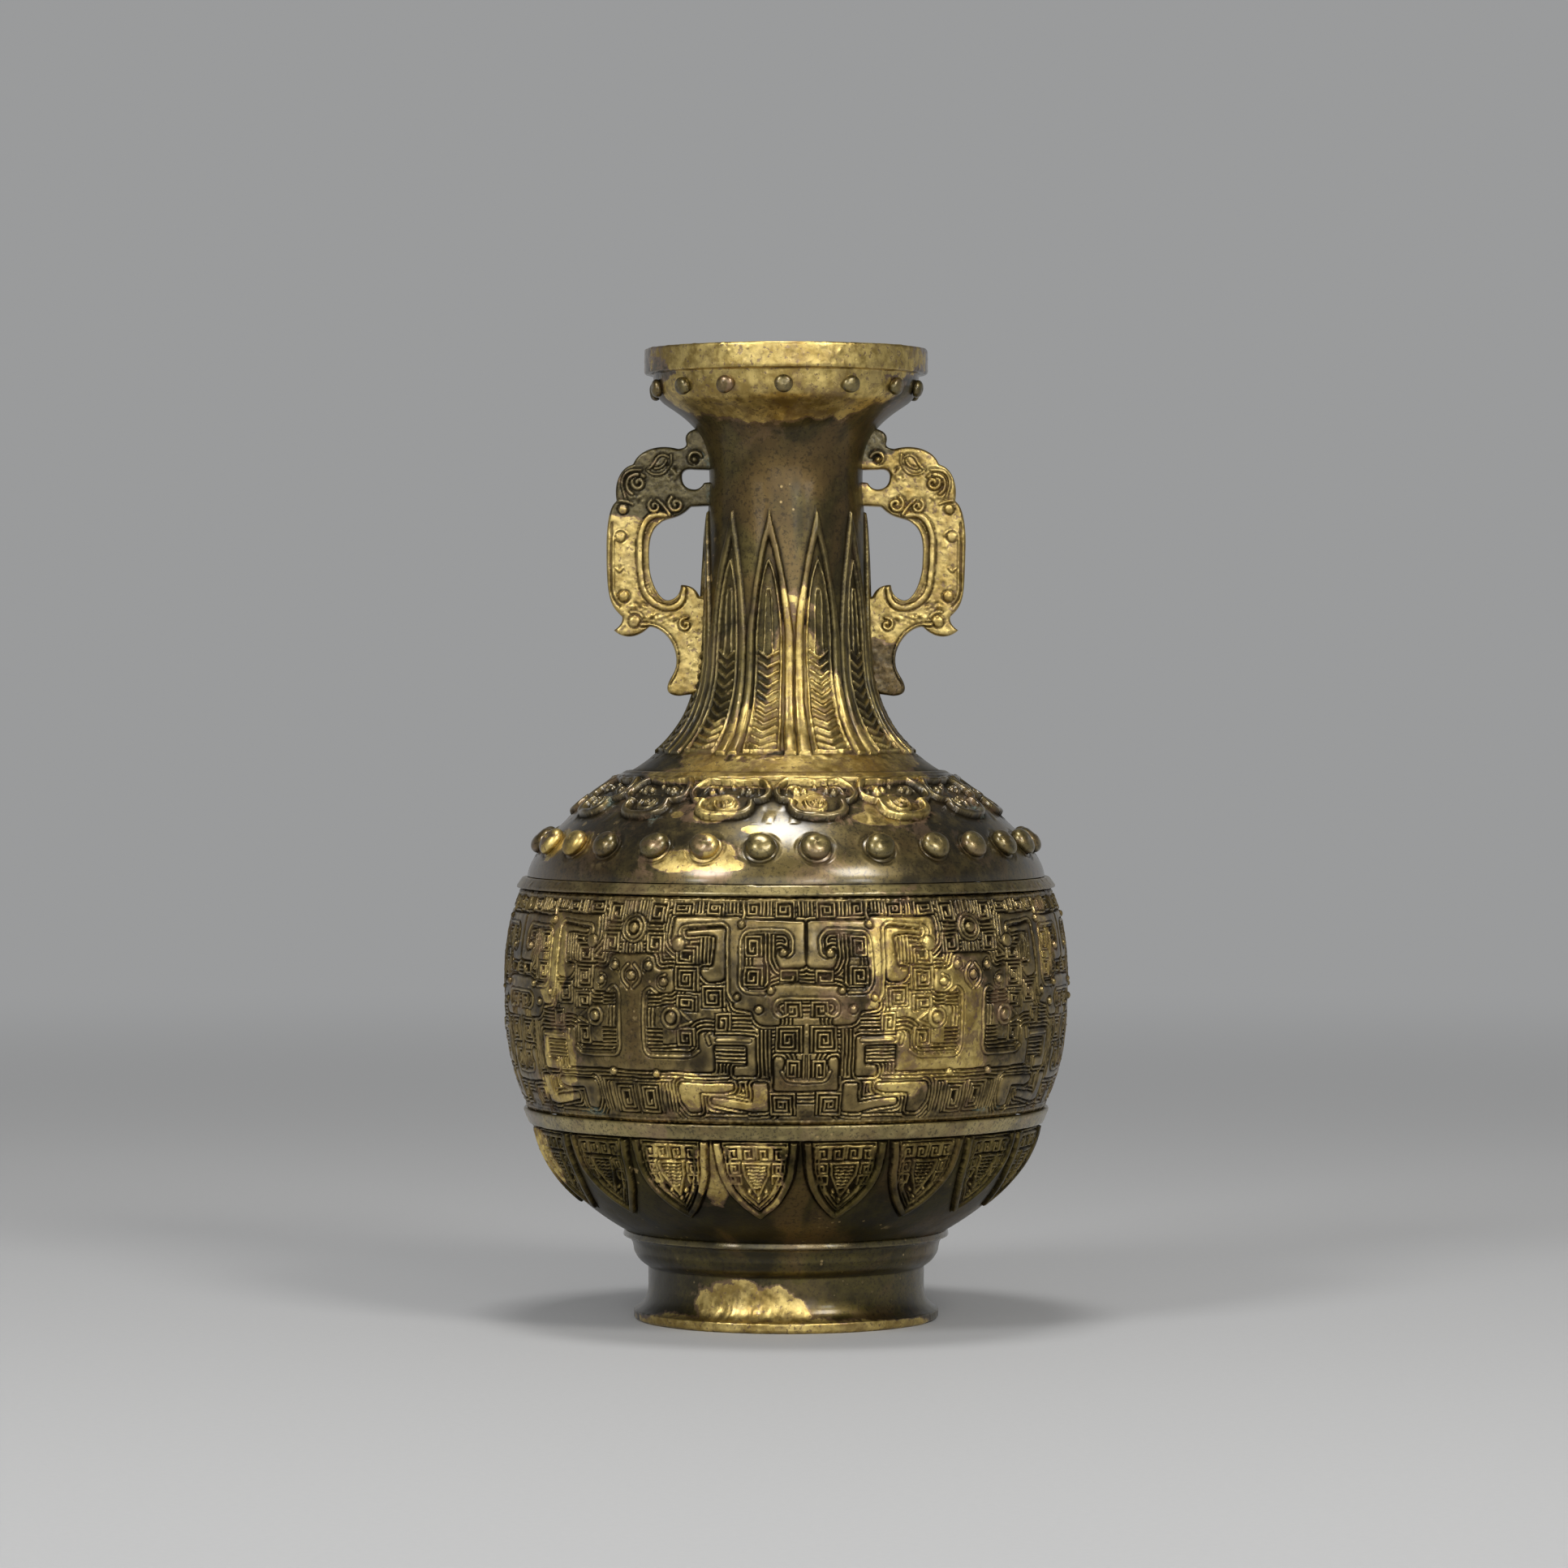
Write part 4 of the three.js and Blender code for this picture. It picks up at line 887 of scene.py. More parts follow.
color = graph.mix(fringe, given["Base"], given["Fringe"])
color = graph.mix(fleck * 0.8, color, graph.mix(0.45, given["Fringe"], given["Gold"]))
gold = graph.mix(graph.window(graph.blend(0.5, broad, ragged), 0.4, 0.62), given["Old Gold"],
                 given["Gold"])
# Dirt darkens the gold in hollows; on the studs the same mark is painted shade on the lower side of
# each head.
gold = graph.mix(graph.math("POWER", given["Hollow"], 0.8) * 0.85, gold, GOLD_DIRT_AND_SHADE)
worn_gilding = finish_group(graph, {
    "Color": graph.mix(leaf_mask, color, gold),
    "Roughness": graph.blend(leaf_mask, given["Base Roughness"], ragged * 0.25 + 0.25),
    "Gilt": leaf_mask})

# %% The green corrosion
graph, given = node_group("green_corrosion", ["Base", "Green"],
                          ["Field", "Hollow", "Base Roughness", "Amount"])
crumbs = graph.noise(1100.0, 3.0, 0.7)
spread = given["Field"] + given["Hollow"] * 0.35 + (graph.noise(130.0, 5.0, 0.7) - 0.52) * 2.2
cover = graph.window(spread, 0.45, 0.95) * graph.window(crumbs, 0.35, 0.62)
cover = graph.math("MULTIPLY", cover, given["Amount"], clamp=True)
green_corrosion = finish_group(graph, {
    "Color": graph.mix(cover, given["Base"], graph.mix(crumbs, given["Green"], (0.17, 0.22, 0.18))),
    "Roughness": graph.blend(cover, given["Base Roughness"], 0.8),
    "Cover": cover})

# %% The grain of the casting
graph, given = node_group("casting_grain", [], ["Gilt", "Pits"])
pit = 1.0 - graph.window(graph.cells(420.0), 0.03, 0.14)
pit = pit * graph.window(graph.noise(90.0), 0.5, 0.62)
height = graph.noise(260.0, 5.0, 0.6) * 0.7 + graph.noise(1700.0, 3.0, 0.6) * 0.22
height = height - pit * given["Pits"] * 0.5 + given["Gilt"] * 0.12
casting_grain = finish_group(graph, {"Height": height})

# %% One bronze finish from the four groups
GOLD = (0.75, 0.57, 0.20)
OLD_GOLD = (0.35, 0.24, 0.068)
FRINGE = (0.30, 0.185, 0.105)
WARM = (0.155, 0.094, 0.030)
GREEN = (0.06, 0.10, 0.085)
BUMP_DEPTH = 0.0004


def bronze_finish(name, dark, middle, rubbed_and_highlit, sheen, metal=0.86, pits=1.0, green=0.7, bump=0.25,
                  wax=0.7, wear=0.3, stain=0.5, gold=GOLD):
    """A material of toned bronze, gilt and corroded where its marks say so."""
    material = bpy.data.materials.new(name)
    material.use_nodes = True
    material.node_tree.nodes.clear()
    graph = Graph(material.node_tree)
    graph.place = graph.wire("ShaderNodeTexCoord", output="Object")
    hollow, raised, gilt_mark, green_mark = (
        graph.wire("ShaderNodeAttribute", output="Fac", attribute_name=title)
        for title in ("hollow", "raised", "gilt", "green"))
    toned = graph.group(toned_bronze, {
        "Dark": dark, "Middle": middle, "Warm": WARM, "Rubbed And Highlit": rubbed_and_highlit, "Hollow": hollow,
        "Raised": raised, "Sheen": sheen})
    gilt = graph.group(worn_gilding, {
        "Field": gilt_mark, "Hollow": hollow, "Base": toned["Color"],
        "Base Roughness": toned["Roughness"], "Gold": gold, "Old Gold": OLD_GOLD,
        "Fringe": FRINGE, "Wear": wear, "Stain": stain})
    corroded = graph.group(green_corrosion, {
        "Field": green_mark, "Hollow": hollow, "Base": gilt["Color"],
        "Base Roughness": gilt["Roughness"], "Green": GREEN, "Amount": green})
    grain = graph.group(casting_grain, {"Gilt": gilt["Gilt"], "Pits": pits})
    bare = graph.math("SUBTRACT", 1.0, hollow, clamp=True)
    shader = graph.wire("ShaderNodeBsdfPrincipled", {
        "Base Color": corroded["Color"], "Roughness": corroded["Roughness"],
        "Metallic": graph.blend(gilt["Gilt"], metal, 1.0) * (1.0 - corroded["Cover"] * 0.85),
        "Normal": graph.wire("ShaderNodeBump", {
            "Height": grain["Height"], "Strength": bump, "Distance": BUMP_DEPTH}),
        "Coat Weight": bare * graph.blend(gilt["Gilt"], wax, 0.15), "Coat Roughness": 0.2})
    graph.add("ShaderNodeOutputMaterial", {"Surface": shader})
    return material


print("node groups:", [tree.name for tree in bpy.data.node_groups])

# %% A finish for each part
cast_bronze = bronze_finish(
    "cast_bronze", (0.038, 0.028, 0.009), (0.132, 0.096, 0.029), (0.40, 0.30, 0.12), 0.27,
    metal=0.88, wax=0.95, stain=0.6)
neck_bronze = bronze_finish(
    "neck_bronze", (0.042, 0.031, 0.008), (0.132, 0.100, 0.028), (0.42, 0.32, 0.12), 0.31,
    metal=0.92, wax=0.4, wear=0.6, stain=0.2)
frieze_bronze = bronze_finish(
    "frieze_bronze", (0.040, 0.027, 0.007), (0.155, 0.108, 0.032), (0.46, 0.34, 0.13), 0.29,
    metal=0.93, wax=0.42, wear=0.8)
foot_bronze = bronze_finish(
    "foot_bronze", (0.032, 0.024, 0.004), (0.098, 0.075, 0.014), (0.36, 0.27, 0.10), 0.25,
    metal=0.94, wax=0.6, stain=0.12)
ring_bronze = bronze_finish(
    "ring_bronze", (0.060, 0.046, 0.012), (0.150, 0.116, 0.032), (0.36, 0.27, 0.10), 0.16,
    metal=0.86, wax=1.0, stain=0.12, bump=0.12)
# Painted shade: the bowl faces down, so its colours are darker than those of the rest of the
# bronze.
shaded_bowl_bronze = bronze_finish(
    "shaded_bowl_bronze", (0.016, 0.012, 0.002), (0.050, 0.039, 0.006), (0.27, 0.20, 0.065), 0.32,
    metal=0.96, wax=0.12, wear=0.7, stain=0.12)
hoop_bronze = bronze_finish(
    "hoop_bronze", (0.13, 0.100, 0.034), (0.28, 0.220, 0.085), (0.50, 0.39, 0.18), 0.28,
    green=0.6)
# Painted light: a lighter copy of the band finish, for the lower band only.
lit_hoop_bronze = bronze_finish(
    "lit_hoop_bronze", (0.20, 0.155, 0.052), (0.41, 0.325, 0.125), (0.60, 0.47, 0.21), 0.26,
    green=0.6)
handle_bronze = bronze_finish(
    "handle_bronze", (0.060, 0.047, 0.018), (0.125, 0.100, 0.042), (0.25, 0.195, 0.09), 0.34,
    wax=0.35, bump=0.5, gold=(0.66, 0.505, 0.185))
stud_bronze = bronze_finish(
    "stud_bronze", (0.105, 0.080, 0.025), (0.205, 0.158, 0.054), (0.32, 0.25, 0.10), 0.27,
    green=0.4)
inner_bronze = bronze_finish(
    "inner_bronze", (0.03, 0.024, 0.014), (0.07, 0.052, 0.028), (0.12, 0.09, 0.05), 0.5,
    metal=0.6, green=1.6)
print("materials:", [material.name for material in bpy.data.materials])

# %% [markdown]
# ## The belly
#
# The belly is five panels, one for each mask, that meet in the uprights between the masks.
# The drawing is read at slightly wandering places, as a hand-cut wax is never quite even, and
# the ground is cut inwards from the outline, so that the bands stay where the casting is.

# %% Five carved panels
FRIEZE_PHASE = 4.0
FINE = 0.22
FRIEZE_START = FRIEZE_PHASE - MASK_HALF_ANGLE


def wander(degrees, z, seed):
    """A slow sideways drift in millimetres."""
    return 0.16 * lumps(degrees, z, 11, seed) + 0.07 * lumps(degrees, z, 4, seed + 1)


def frieze(degrees, lengths, z):
    turn = off_middle(degrees, FRIEZE_PHASE, 2 * MASK_HALF_ANGLE)
    across = np.abs(turn) * DEGREE * FRIEZE_RADIUS + wander(degrees, z, 11)
    held = np.clip((z - 51) / 3, 0, 1)  # the lower edge doesn't drift off its groove
    up = (z - BELLY_LINE[0, 1]) + wander(degrees, z, 21) * held
    worn = 0.86 + 0.14 * lumps(degrees, z, 14, 31)
    return mask.read(across, up) * worn + 0.04 * lumps(degrees, z, 20, 32)


panels("belly_panel", 5, FRIEZE_START, BELLY_LINE, FINE, frieze, frieze_bronze, "belly")
print("belly panels at", FINE, "mm")

# %% [markdown]
# ## The bowl and its lappets
#
# The lower bowl is plain bronze behind eighteen lappets, painted nearly black as shade for
# its downward face. Its panels meet between two lappets, where nothing but a plain wall has
# to match.

# %% Lappets round the bowl
LAPPET_STEP, LAPPET_PHASE = 20.0, 13.2
LAPPETS_FROM = lengths_along(BOWL_LINE)[-1] - 0.3


def hanging(degrees, lengths, z):
    turn = off_middle(degrees, LAPPET_PHASE, LAPPET_STEP)
    across = turn * DEGREE * LAPPET_REFERENCE + wander(degrees, z, 41) * 0.7
    up = lengths - LAPPETS_FROM + wander(degrees, z, 51) * 0.7
    return lappet.read(across, up) + plain(degrees, lengths, z)


panels("bowl_panel", 3, LAPPET_PHASE + LAPPET_STEP / 2, BOWL_LINE, FINE, hanging, shaded_bowl_bronze,
       "foot_and_bowl")
print("lappets:", round(360 / LAPPET_STEP))

# %% [markdown]
# ## The foot
#
# A plain turned foot: a flat band at the table, a flare up to a narrow waist and a hollow
# moulding. The step ring under the bowl is a piece of its own, since it's smoother and more
# waxed. At the front of the flare the gilding lies over a patch that was never smoothed, so
# it gets real wrinkles.

# %% The moulded foot
PATCH_ANGLE, PATCH_Z, PATCH_WIDE, PATCH_HIGH = -14, 5.8, 19, 4.6  # degrees, mm, degrees, mm
BASE_EDGE_Z = 2.4


def foot_surface(degrees, lengths, z):
    away = np.hypot((degrees - PATCH_ANGLE) / PATCH_WIDE, (z - PATCH_Z) / PATCH_HIGH)
    patch = np.clip(1.3 - away, 0, 0.6) / 0.6
    wrinkles = (0.075 * lumps(degrees, z, 5.2, 61) + 0.05 * lumps(degrees, z, 2.2, 62)
                + 0.035 * lumps(degrees, z, 1.0, 64))
    edge = -0.05 * np.abs(lumps(degrees, z, 5, 63)) * (z < BASE_EDGE_Z)
    return plain(degrees, lengths, z) + patch * wrinkles + edge


for half, start in (("1", -90.0), ("2", 90.0)):
    spun("foot_wall_" + half, FOOT_LINE, start, start + 180.0, 0.3, foot_surface, foot_bronze,
         "foot_and_bowl")
    spun("step_ring_" + half, RING_LINE, start, start + 180.0, 0.2, plain, ring_bronze,
         "foot_and_bowl")
print("foot up to", round(RING_LINE[-1, 1], 2), "mm")

# %% [markdown]
# ## The shoulder
#
# Cloud heads hang from the collar over a plain burnished shoulder. Round each stud, the
# surface shows the bites of the chisel that set it, so small crescents are cut there.

# %% Cloud heads and chisel bites
CLOUD_STEP, CLOUD_PHASE = 360.0 / 14, 8.9
COLLAR_HEIGHT = 0.8
COLLAR_FROM = lengths_along(SHOULDER_LINE)[-1] - 1.2


def angles_round(seen, count):
    """Angles seen from the front, then the rest evenly spread behind."""
    step = (360 - (seen[-1] - seen[0])) / (count - len(seen) + 1)
    return seen + [seen[-1] + step * (i + 1) for i in range(count - len(seen))]


SHOULDER_STUDS = angles_round(
    [-84, -72, -58, -46, -31.5, -18.8, -5.8, 6.8, 21.8, 36.4, 48.5, 61.5, 74, 86], 28)
MOUTH_STUDS = angles_round([-74, -50, -26.6, -1, 28.5, 54.8, 78], 14)
STUD_Z, STUD_RADIUS, STUD_HEIGHT = 113.2, 3.6, 2.7
STUD_LENGTH = float(height_to_length(SHOULDER_LINE, STUD_Z))
STUD_CIRCLE = float(spot_along(SHOULDER_LINE, STUD_LENGTH)[0])
# Round a stud: how far out from its edge, how wide and how high, and if the chisel varies it.
STUD_MARKS = [(0.25, 0.28, -0.22, False), (0.95, 0.3, -0.13, True), (1.5, 0.35, 0.03, True)]


def bites(degrees, lengths):
    """A narrow gutter, chisel bites and their burr round every shoulder stud."""
    total = np.zeros(np.broadcast(degrees, lengths).shape)
    for i, angle in enumerate(SHOULDER_STUDS):
        turn = off_middle(degrees, angle, 360)
        columns = np.flatnonzero(np.abs(turn[0]) < 7)
        if not len(columns):
            continue
        x, y = turn[:, columns] * DEGREE * STUD_CIRCLE, lengths - STUD_LENGTH
        d, way = np.hypot(x, y) - STUD_RADIUS, np.arctan2(y, x)
        strength = 0.55 + 0.45 * np.sin(5 * way + 1.7 * i)
        total[:, columns] += sum(
            high * (strength if varies else 1) * np.exp(-((d - out) / wide) ** 2)
            for out, wide, high, varies in STUD_MARKS)
    return total


def shoulder_surface(degrees, lengths, z):
    turn = off_middle(degrees, CLOUD_PHASE, CLOUD_STEP)
    across = turn * DEGREE * CLOUD_REFERENCE + wander(degrees, z, 71)
    up = lengths - COLLAR_FROM + wander(degrees, z, 81)
    heads = cloud.read(across, up) + 0.12 * lumps(degrees, z, 5, 82) * (up > -16)
    collar = COLLAR_HEIGHT * np.clip((up + 0.2) / 0.5, 0, 1)
    return np.maximum(heads, collar) + bites(degrees, lengths) + plain(degrees, lengths, z)


panels("shoulder_wall", 2, CLOUD_PHASE + CLOUD_STEP / 2, SHOULDER_LINE, FINE * 1.25,
       shoulder_surface, cast_bronze, "shoulder_and_neck")
print("studs on a circle of", round(STUD_CIRCLE, 1), "mm")

# %% [markdown]
# ## The neck
#
# Leaves of slightly different widths stand side by side on the plain collar, so the drawing
# of one leaf is stretched to the midline towards each neighbour. Above their tips the neck
# is plain, up to the cup of the mouth.

# %% Leaves up the neck
LEAVES = np.array(angles_round([-80, -42, -12, 22.5, 54, 86], 11), float)


def neck_surface(degrees, lengths, z):
    ring = np.concatenate([LEAVES[-1:] - 360, LEAVES, LEAVES[:1] + 360])
    first = LEAVES[0] - 20
    turn = (degrees - first) % 360 + first
    nearest = np.abs(turn[..., None] - ring).argmin(-1).clip(1, len(LEAVES))
    off = turn - ring[nearest]
    right = (ring[np.minimum(nearest + 1, len(ring) - 1)] - ring[nearest]) / 2
    left = (ring[nearest] - ring[nearest - 1]) / 2
    across = off / np.where(off > 0, right, left) * LEAF_HALF + wander(degrees, z, 91) * 0.6
    up = lengths - leaf_bottom + wander(degrees, z, 92)
    collar = COLLAR_HEIGHT * np.clip((2.2 - lengths) / 1.2, 0, 1)
    carved = np.where(up > leaf.y[-1] - 0.3, 0.0, np.maximum(leaf.read(across, up), collar))
    return carved + plain(degrees, lengths, z)


panels("neck_wall", 3, -130.0, NECK_LINE, FINE * 1.33, neck_surface, neck_bronze,
       "shoulder_and_neck")
print("leaves:", len(LEAVES))

# %% [markdown]
# ## Mouth, inside walls, bands and base plate
#
# These are turned parts. The mouth has a recessed band under a thick plain rim whose edges
# are rubbed round. Only their slight unevenness tells them from lathe work.

# %% Turned parts
def dented(degrees, lengths, z):
    nicks = -0.09 * np.clip(lumps(degrees, z, 4, 101) - 0.55, 0, 1)
    pimples = 0.16 * np.clip(lumps(degrees, z, 2.4, 103) - 0.6, 0, 0.6)
    return (plain(degrees, lengths, z) + nicks + pimples + 0.03 * lumps(degrees, z, 6, 102)
            + 0.014 * lumps(degrees, z, 1.3, 104))


def level(degrees, lengths, z):
    return 0.02 * lumps(degrees, z, 12, 111)


panels("mouth", 2, -90.0, MOUTH_LINE, 0.3, dented, cast_bronze, "shoulder_and_neck")

INNER_LINES = {
    "inner_foot": (np.array([(35.5, 0), (30.0, 0.05), (30.0, 17.0), (26.0, 17.0), (26.0, 20.4)]),
                   "foot_and_bowl"),
    "inner_bowl": (np.vstack([[(26.0, 20.4)], shifted(BOWL_LINE, -WALL)[5:]]), "foot_and_bowl"),
    "inner_belly": (shifted(BELLY_LINE, -WALL), "belly"),
    "inner_shoulder": (shifted(SHOULDER_LINE, -WALL), "shoulder_and_neck"),
    "inner_neck": (np.vstack([shifted(NECK_LINE, -WALL)[:-3], [(27.6, 218.0), (30.4, 229.4)]]),
                   "shoulder_and_neck"),
}
for name, (line, node) in INNER_LINES.items():
    spun(name, line, -180.0, 180.0, 0.8, level, inner_bronze, node, inside=True, columns=240)

PLATE_LINE = np.array([(0.3, 14.2), (20.0, 14.2), (29.7, 14.2), (29.7, 16.7), (0.3, 16.7)])
spun("base_plate_cast", PLATE_LINE, -180.0, 180.0, 0.6, level, inner_bronze, "base_plate",
     "inner_bronze", columns=200)

LOWER_BAND = np.array([(60.2, 46.75), (61.0, 46.85), (61.2, 47.1), (62.25, 49.6), (62.4, 49.9),
                       (62.3, 50.3), (61.0, 50.4)])
UPPER_BAND = np.array([(61.6, 102.35), (63.4, 102.45), (63.9, 102.7), (63.85, 103.1),
                       (62.65, 104.8), (62.2, 105.0), (60.8, 105.05)])
# The lower band wears the lighter copy of the band finish, which is painted light.
panels("lower_band", 2, -90.0, LOWER_BAND, 0.3, dented, lit_hoop_bronze, "lower_hoop",
       "hoop_bronze")
panels("upper_band", 2, -90.0, UPPER_BAND, 0.3, dented, hoop_bronze, "upper_hoop", "hoop_bronze")
print("walls inside:", len(INNER_LINES))

# %% [markdown]
# ## Studs
#
# The studs are cast heads on short shanks, dressed by hand, so no two are alike: each gets
# its own slight oval, dent and tilt. Their edge is tucked under, and the lower side of each
# head is painted darker as shade, which gives the dark line round them.

# %% A domed stud head
STUD_ROWS, STUD_COLUMNS = 15, 40
TUCK = -0.5  # how far the edge is tucked under, in radians below the rim of the dome


def stud(name, angle, line, z, radius, height, seed, node, gilding):
    at = float(height_to_length(line, z))
    behind, here, ahead = (spot_along(line, at + step) for step in (-0.5, 0, 0.5))
    along = (ahead - behind) / np.linalg.norm(ahead - behind)
    source = np.random.default_rng(seed)
    tip = np.linspace(TUCK, math.pi / 2, STUD_ROWS)[:, None]
    way = np.linspace(0, 2 * math.pi, STUD_COLUMNS)[None, :]
    oval = 1 + source.uniform(0.01, 0.05) * np.cos(2 * way + source.uniform(0, 6))
    oval = oval + 0.018 * np.cos(3 * way + source.uniform(0, 6))
    reach = radius * oval * np.cos(tip) ** 0.8
    rise = height * (0.26 + 0.74 * np.sin(tip)) + 0.12
    rise = rise + 0.05 * height * np.cos(way + source.uniform(0, 6)) * np.sin(tip)
    dent = source.uniform(-0.5, 0.5, 2) * radius
    x, y = reach * np.cos(way), 0.93 * reach * np.sin(way)
    rise = rise - 0.06 * height * np.exp(-((x - dent[0]) ** 2 + (y - dent[1]) ** 2)
                                         / (0.3 * radius) ** 2)
    turn = math.radians(angle)
    out = np.array([math.sin(turn) * along[1], -math.cos(turn) * along[1], -along[0]])
    side = np.array([math.cos(turn), math.sin(turn), 0])
    up = np.cross(out, side)
    points = around(angle, here[0], z) + x[..., None] * side + y[..., None] * up \
        + rise[..., None] * out
    # The lower side of each head, down into the tuck, is marked hollow so that it is painted dark
    # as shade; the top of the dome is marked raised and gets the lighter rubbed colour, partly wear
    # and partly a painted highlight.
    marks = {
        "hollow": np.clip(0.8 - rise / (0.45 * height), 0, 1),
        "raised": np.clip(rise / height - 0.75, 0, 1),
        "gilt": gilding - 0.25 * np.clip(rise / height - 0.5, 0, 1),
        "green": np.full(rise.shape, float(splashes(angle, z, GREEN_SPOTS)) - 0.2),
    }
    grid_mesh(name, points, marks, stud_bronze, node)


MOUTH_WALL = np.array([(30.8, 218.2), (31.6, 224.0)])
STILL_GILT = {1: 0.05, 2: 0.4, 4: -0.02, 5: 0.04, 16: 0.3, 22: 0.1}
for i, angle in enumerate(SHOULDER_STUDS):
    stud(f"shoulder_stud_head_{i + 1:02d}", angle, SHOULDER_LINE, STUD_Z, STUD_RADIUS,
         STUD_HEIGHT, 200 + i, f"shoulder_stud_{i + 1:02d}", STILL_GILT.get(i, -0.6))
for i, angle in enumerate(MOUTH_STUDS):
    stud(f"mouth_stud_head_{i + 1:02d}", angle, MOUTH_WALL, 220.4, 2.25, 1.8, 300 + i,
         f"mouth_stud_{i + 1:02d}", -0.2)
print("studs:", len(SHOULDER_STUDS) + len(MOUTH_STUDS))

# %% [markdown]
# ## Handles
#
# Each handle is a flat open-work beast, cast in a piece mould: a plate six millimetres thick
# with soft edges and the same relief on both faces. The plate is filled from its drawn
# outline and remeshed into small even quads, which rounds its edges as casting does, and
# then every point of its faces is lifted by the relief sheet.

# %% The beast's outline
def drawn(start, *steps):
    """A line from straight steps (one point), bends (two) and cubic curves (three)."""
    line = [np.array([start], float)]
    for step in steps:
        here = line[-1][-1]
        if len(step) == 1:
            line.append(np.array(step, float))
        elif len(step) == 2:
            line.append(bend(here, *step, 10)[1:])
        else:
            line.append(cubic(here, *step, 14)[1:])
    return np.vstack(line)


beast = drawn(
    (17.0, 62.4), [(20.6, 63.6)], [(24.6, 62.8), (23.8, 60.2)], [(23.2, 58.8), (25.6, 58.6)],
    [(30.5, 60), (35.2, 58.2), (36.2, 54.9)], [(39.2, 54.4), (41, 50.2), (40.2, 46.2)],
    [(42.8, 44.8), (42.6, 37), (42.5, 34)], [(42.5, 24), (42.4, 21.8), (38.9, 18.8)],
    [(38.6, 17), (40.8, 15.6)], [(38.4, 13.2), (34.8, 13.8), (32.4, 16.5)],
    [(27.6, 16), (24.2, 9.4), (27, 5)], [(30.2, 0.2), (25.4, 0)], [(19.0, 0.9)],
    [(18.2, 23.0)], [(20.6, 23.6)], [(21.6, 26.4), (25, 26.4)], [(25.2, 23.2), (28, 22.7)],
    [(30.2, 22.6), (32.2, 27), (32.4, 31)], [(32.4, 34), (33, 39), (30, 41)],
    [(28.4, 42.6), (25.6, 41.6), (22.7, 44.9)], [(17.0, 45.2)], [(17.0, 50.8)],
    [(19.4, 50.6)], [(20.2, 49.1), (21.6, 49)], [(24.4, 49), (24.6, 51.8)],
    [(24.8, 54.2), (21.6, 53.7)], [(17.0, 53.6)])
print("the beast's outline has", len(beast), "points")

# %% The beast's relief
HANDLE_SHEET = (14, 46, -3, 66)
# Where the casting is rough: middle, half width and half height.
ROUGH_PATCHES = [(34.9, 21.2, 2.4, 1.4), (29.8, 18.2, 4.2, 1.3), (35.6, 46.4, 1.8, 1.4),
                 (26.8, 52.6, 1.6, 2.0)]

crest = Sheet(*HANDLE_SHEET)
opening = drawn((25.2, 26.2), [(25.3, 23.2), (28, 22.7)], [(30.2, 22.6), (32.2, 27), (32.4, 31)],
                [(32.4, 34), (33, 39), (30, 41)], [(28.9, 41.7), (28.2, 41.8)])
crest.put(crest.distance(opening, 2.0) < 1.35, -0.4)
crest.ridge(drawn((27.6, 42.5), [(29.6, 43.3), (31.2, 43.0)], [(34.6, 41.6), (34.6, 36.0)],
                  [(34.7, 28.6), (33.9, 25.6)], [(32.6, 21.6), (28.2, 20.9)],
                  [(25.4, 20.7), (24.5, 23.4)], [(24.3, 25.6)]), 1.5, 0.5, -0.35)
crest.ridge(drawn((27.2, 57.1), [(27.1, 55.4)], [(27.2, 54.8), (27.8, 54.3)]), 0.5, 0.35, -0.3)
crest.ridge(drawn((27.9, 56.6), [(29.4, 57.8), (30.7, 56.2)], [(31.4, 54.4), (32.9, 53.6)]),
            0.5, 0.4, -0.3)
crest.ridge(drawn((28.3, 55.8), [(28.8, 54.0), (31.0, 53.9)]), 0.5, 0.45, -0.35)
crest.ridge(drawn((27.7, 54.3), [(28.6, 52.2), (31.2, 52.5)], [(32.0, 52.7), (32.6, 53.3)]),
            0.5, 0.3, -0.3)
crest.curl(34.9, 50.5, 2.0, 130, -1.35, 0.9, 0.6, -0.2)
crest.ridge(drawn((35.0, 52.5), [(37.6, 52.4), (37.7, 50.2)], [(37.8, 48.6), (36.4, 47.9)]),
            0.8, 0.6, -0.3)
crest.ridge(drawn((34.2, 53.6), [(39.2, 54.0), (38.8, 49.6)], [(38.2, 47.4), (38.0, 46.6)]),
            0.5, 0.35, -0.3)
crest.curl(26.1, 45.4, 1.9, 60, -1.3, 0.95, 0.65, -0.25)
crest.curl(31.2, 45.0, 1.6, 60, -1.2, 0.8, 0.65, -0.25)
crest.ridge(drawn((27.6, 42.9), [(28.8, 45.0), (30.6, 46.5)]), 0.7, 0.6, -0.2)
crest.ridge(drawn((40.3, 46.2), [(37.6, 46.4), (36.4, 45.4)]), 0.6, 0.4, -0.2)
crest.dome(38.7, 44.3, 1.2, 0.6, -0.25)
crest.ridge(drawn((37.6, 38.0), [(38.6, 40.2), (40.8, 39.4), (40.9, 37.0)], [(40.9, 25.4)],
                  [(40.8, 22.6), (38.6, 22.0)]), 0.6, 0.35, -0.1)
crest.cut(drawn((41.4, 41.0), [(41.5, 25.0)], [(41.2, 22.4), (39.4, 21.2)]), 0.7, 0.4)
crest.dome(39.2, 37.7, 1.2, 0.45, -0.2)
crest.ridge(drawn((38.6, 30.4), [(39.4, 29.5)], [(40.2, 30.2)]), 0.6, 0.4, -0.1)
crest.dome(38.5, 23.6, 1.35, 0.6, -0.25)
crest.dome(35.9, 17.7, 1.45, 0.6, -0.25)
crest.ridge(drawn((34.1, 18.6), [(34.8, 20.2), (36.8, 19.8)]), 0.5, 0.2, -0.35)
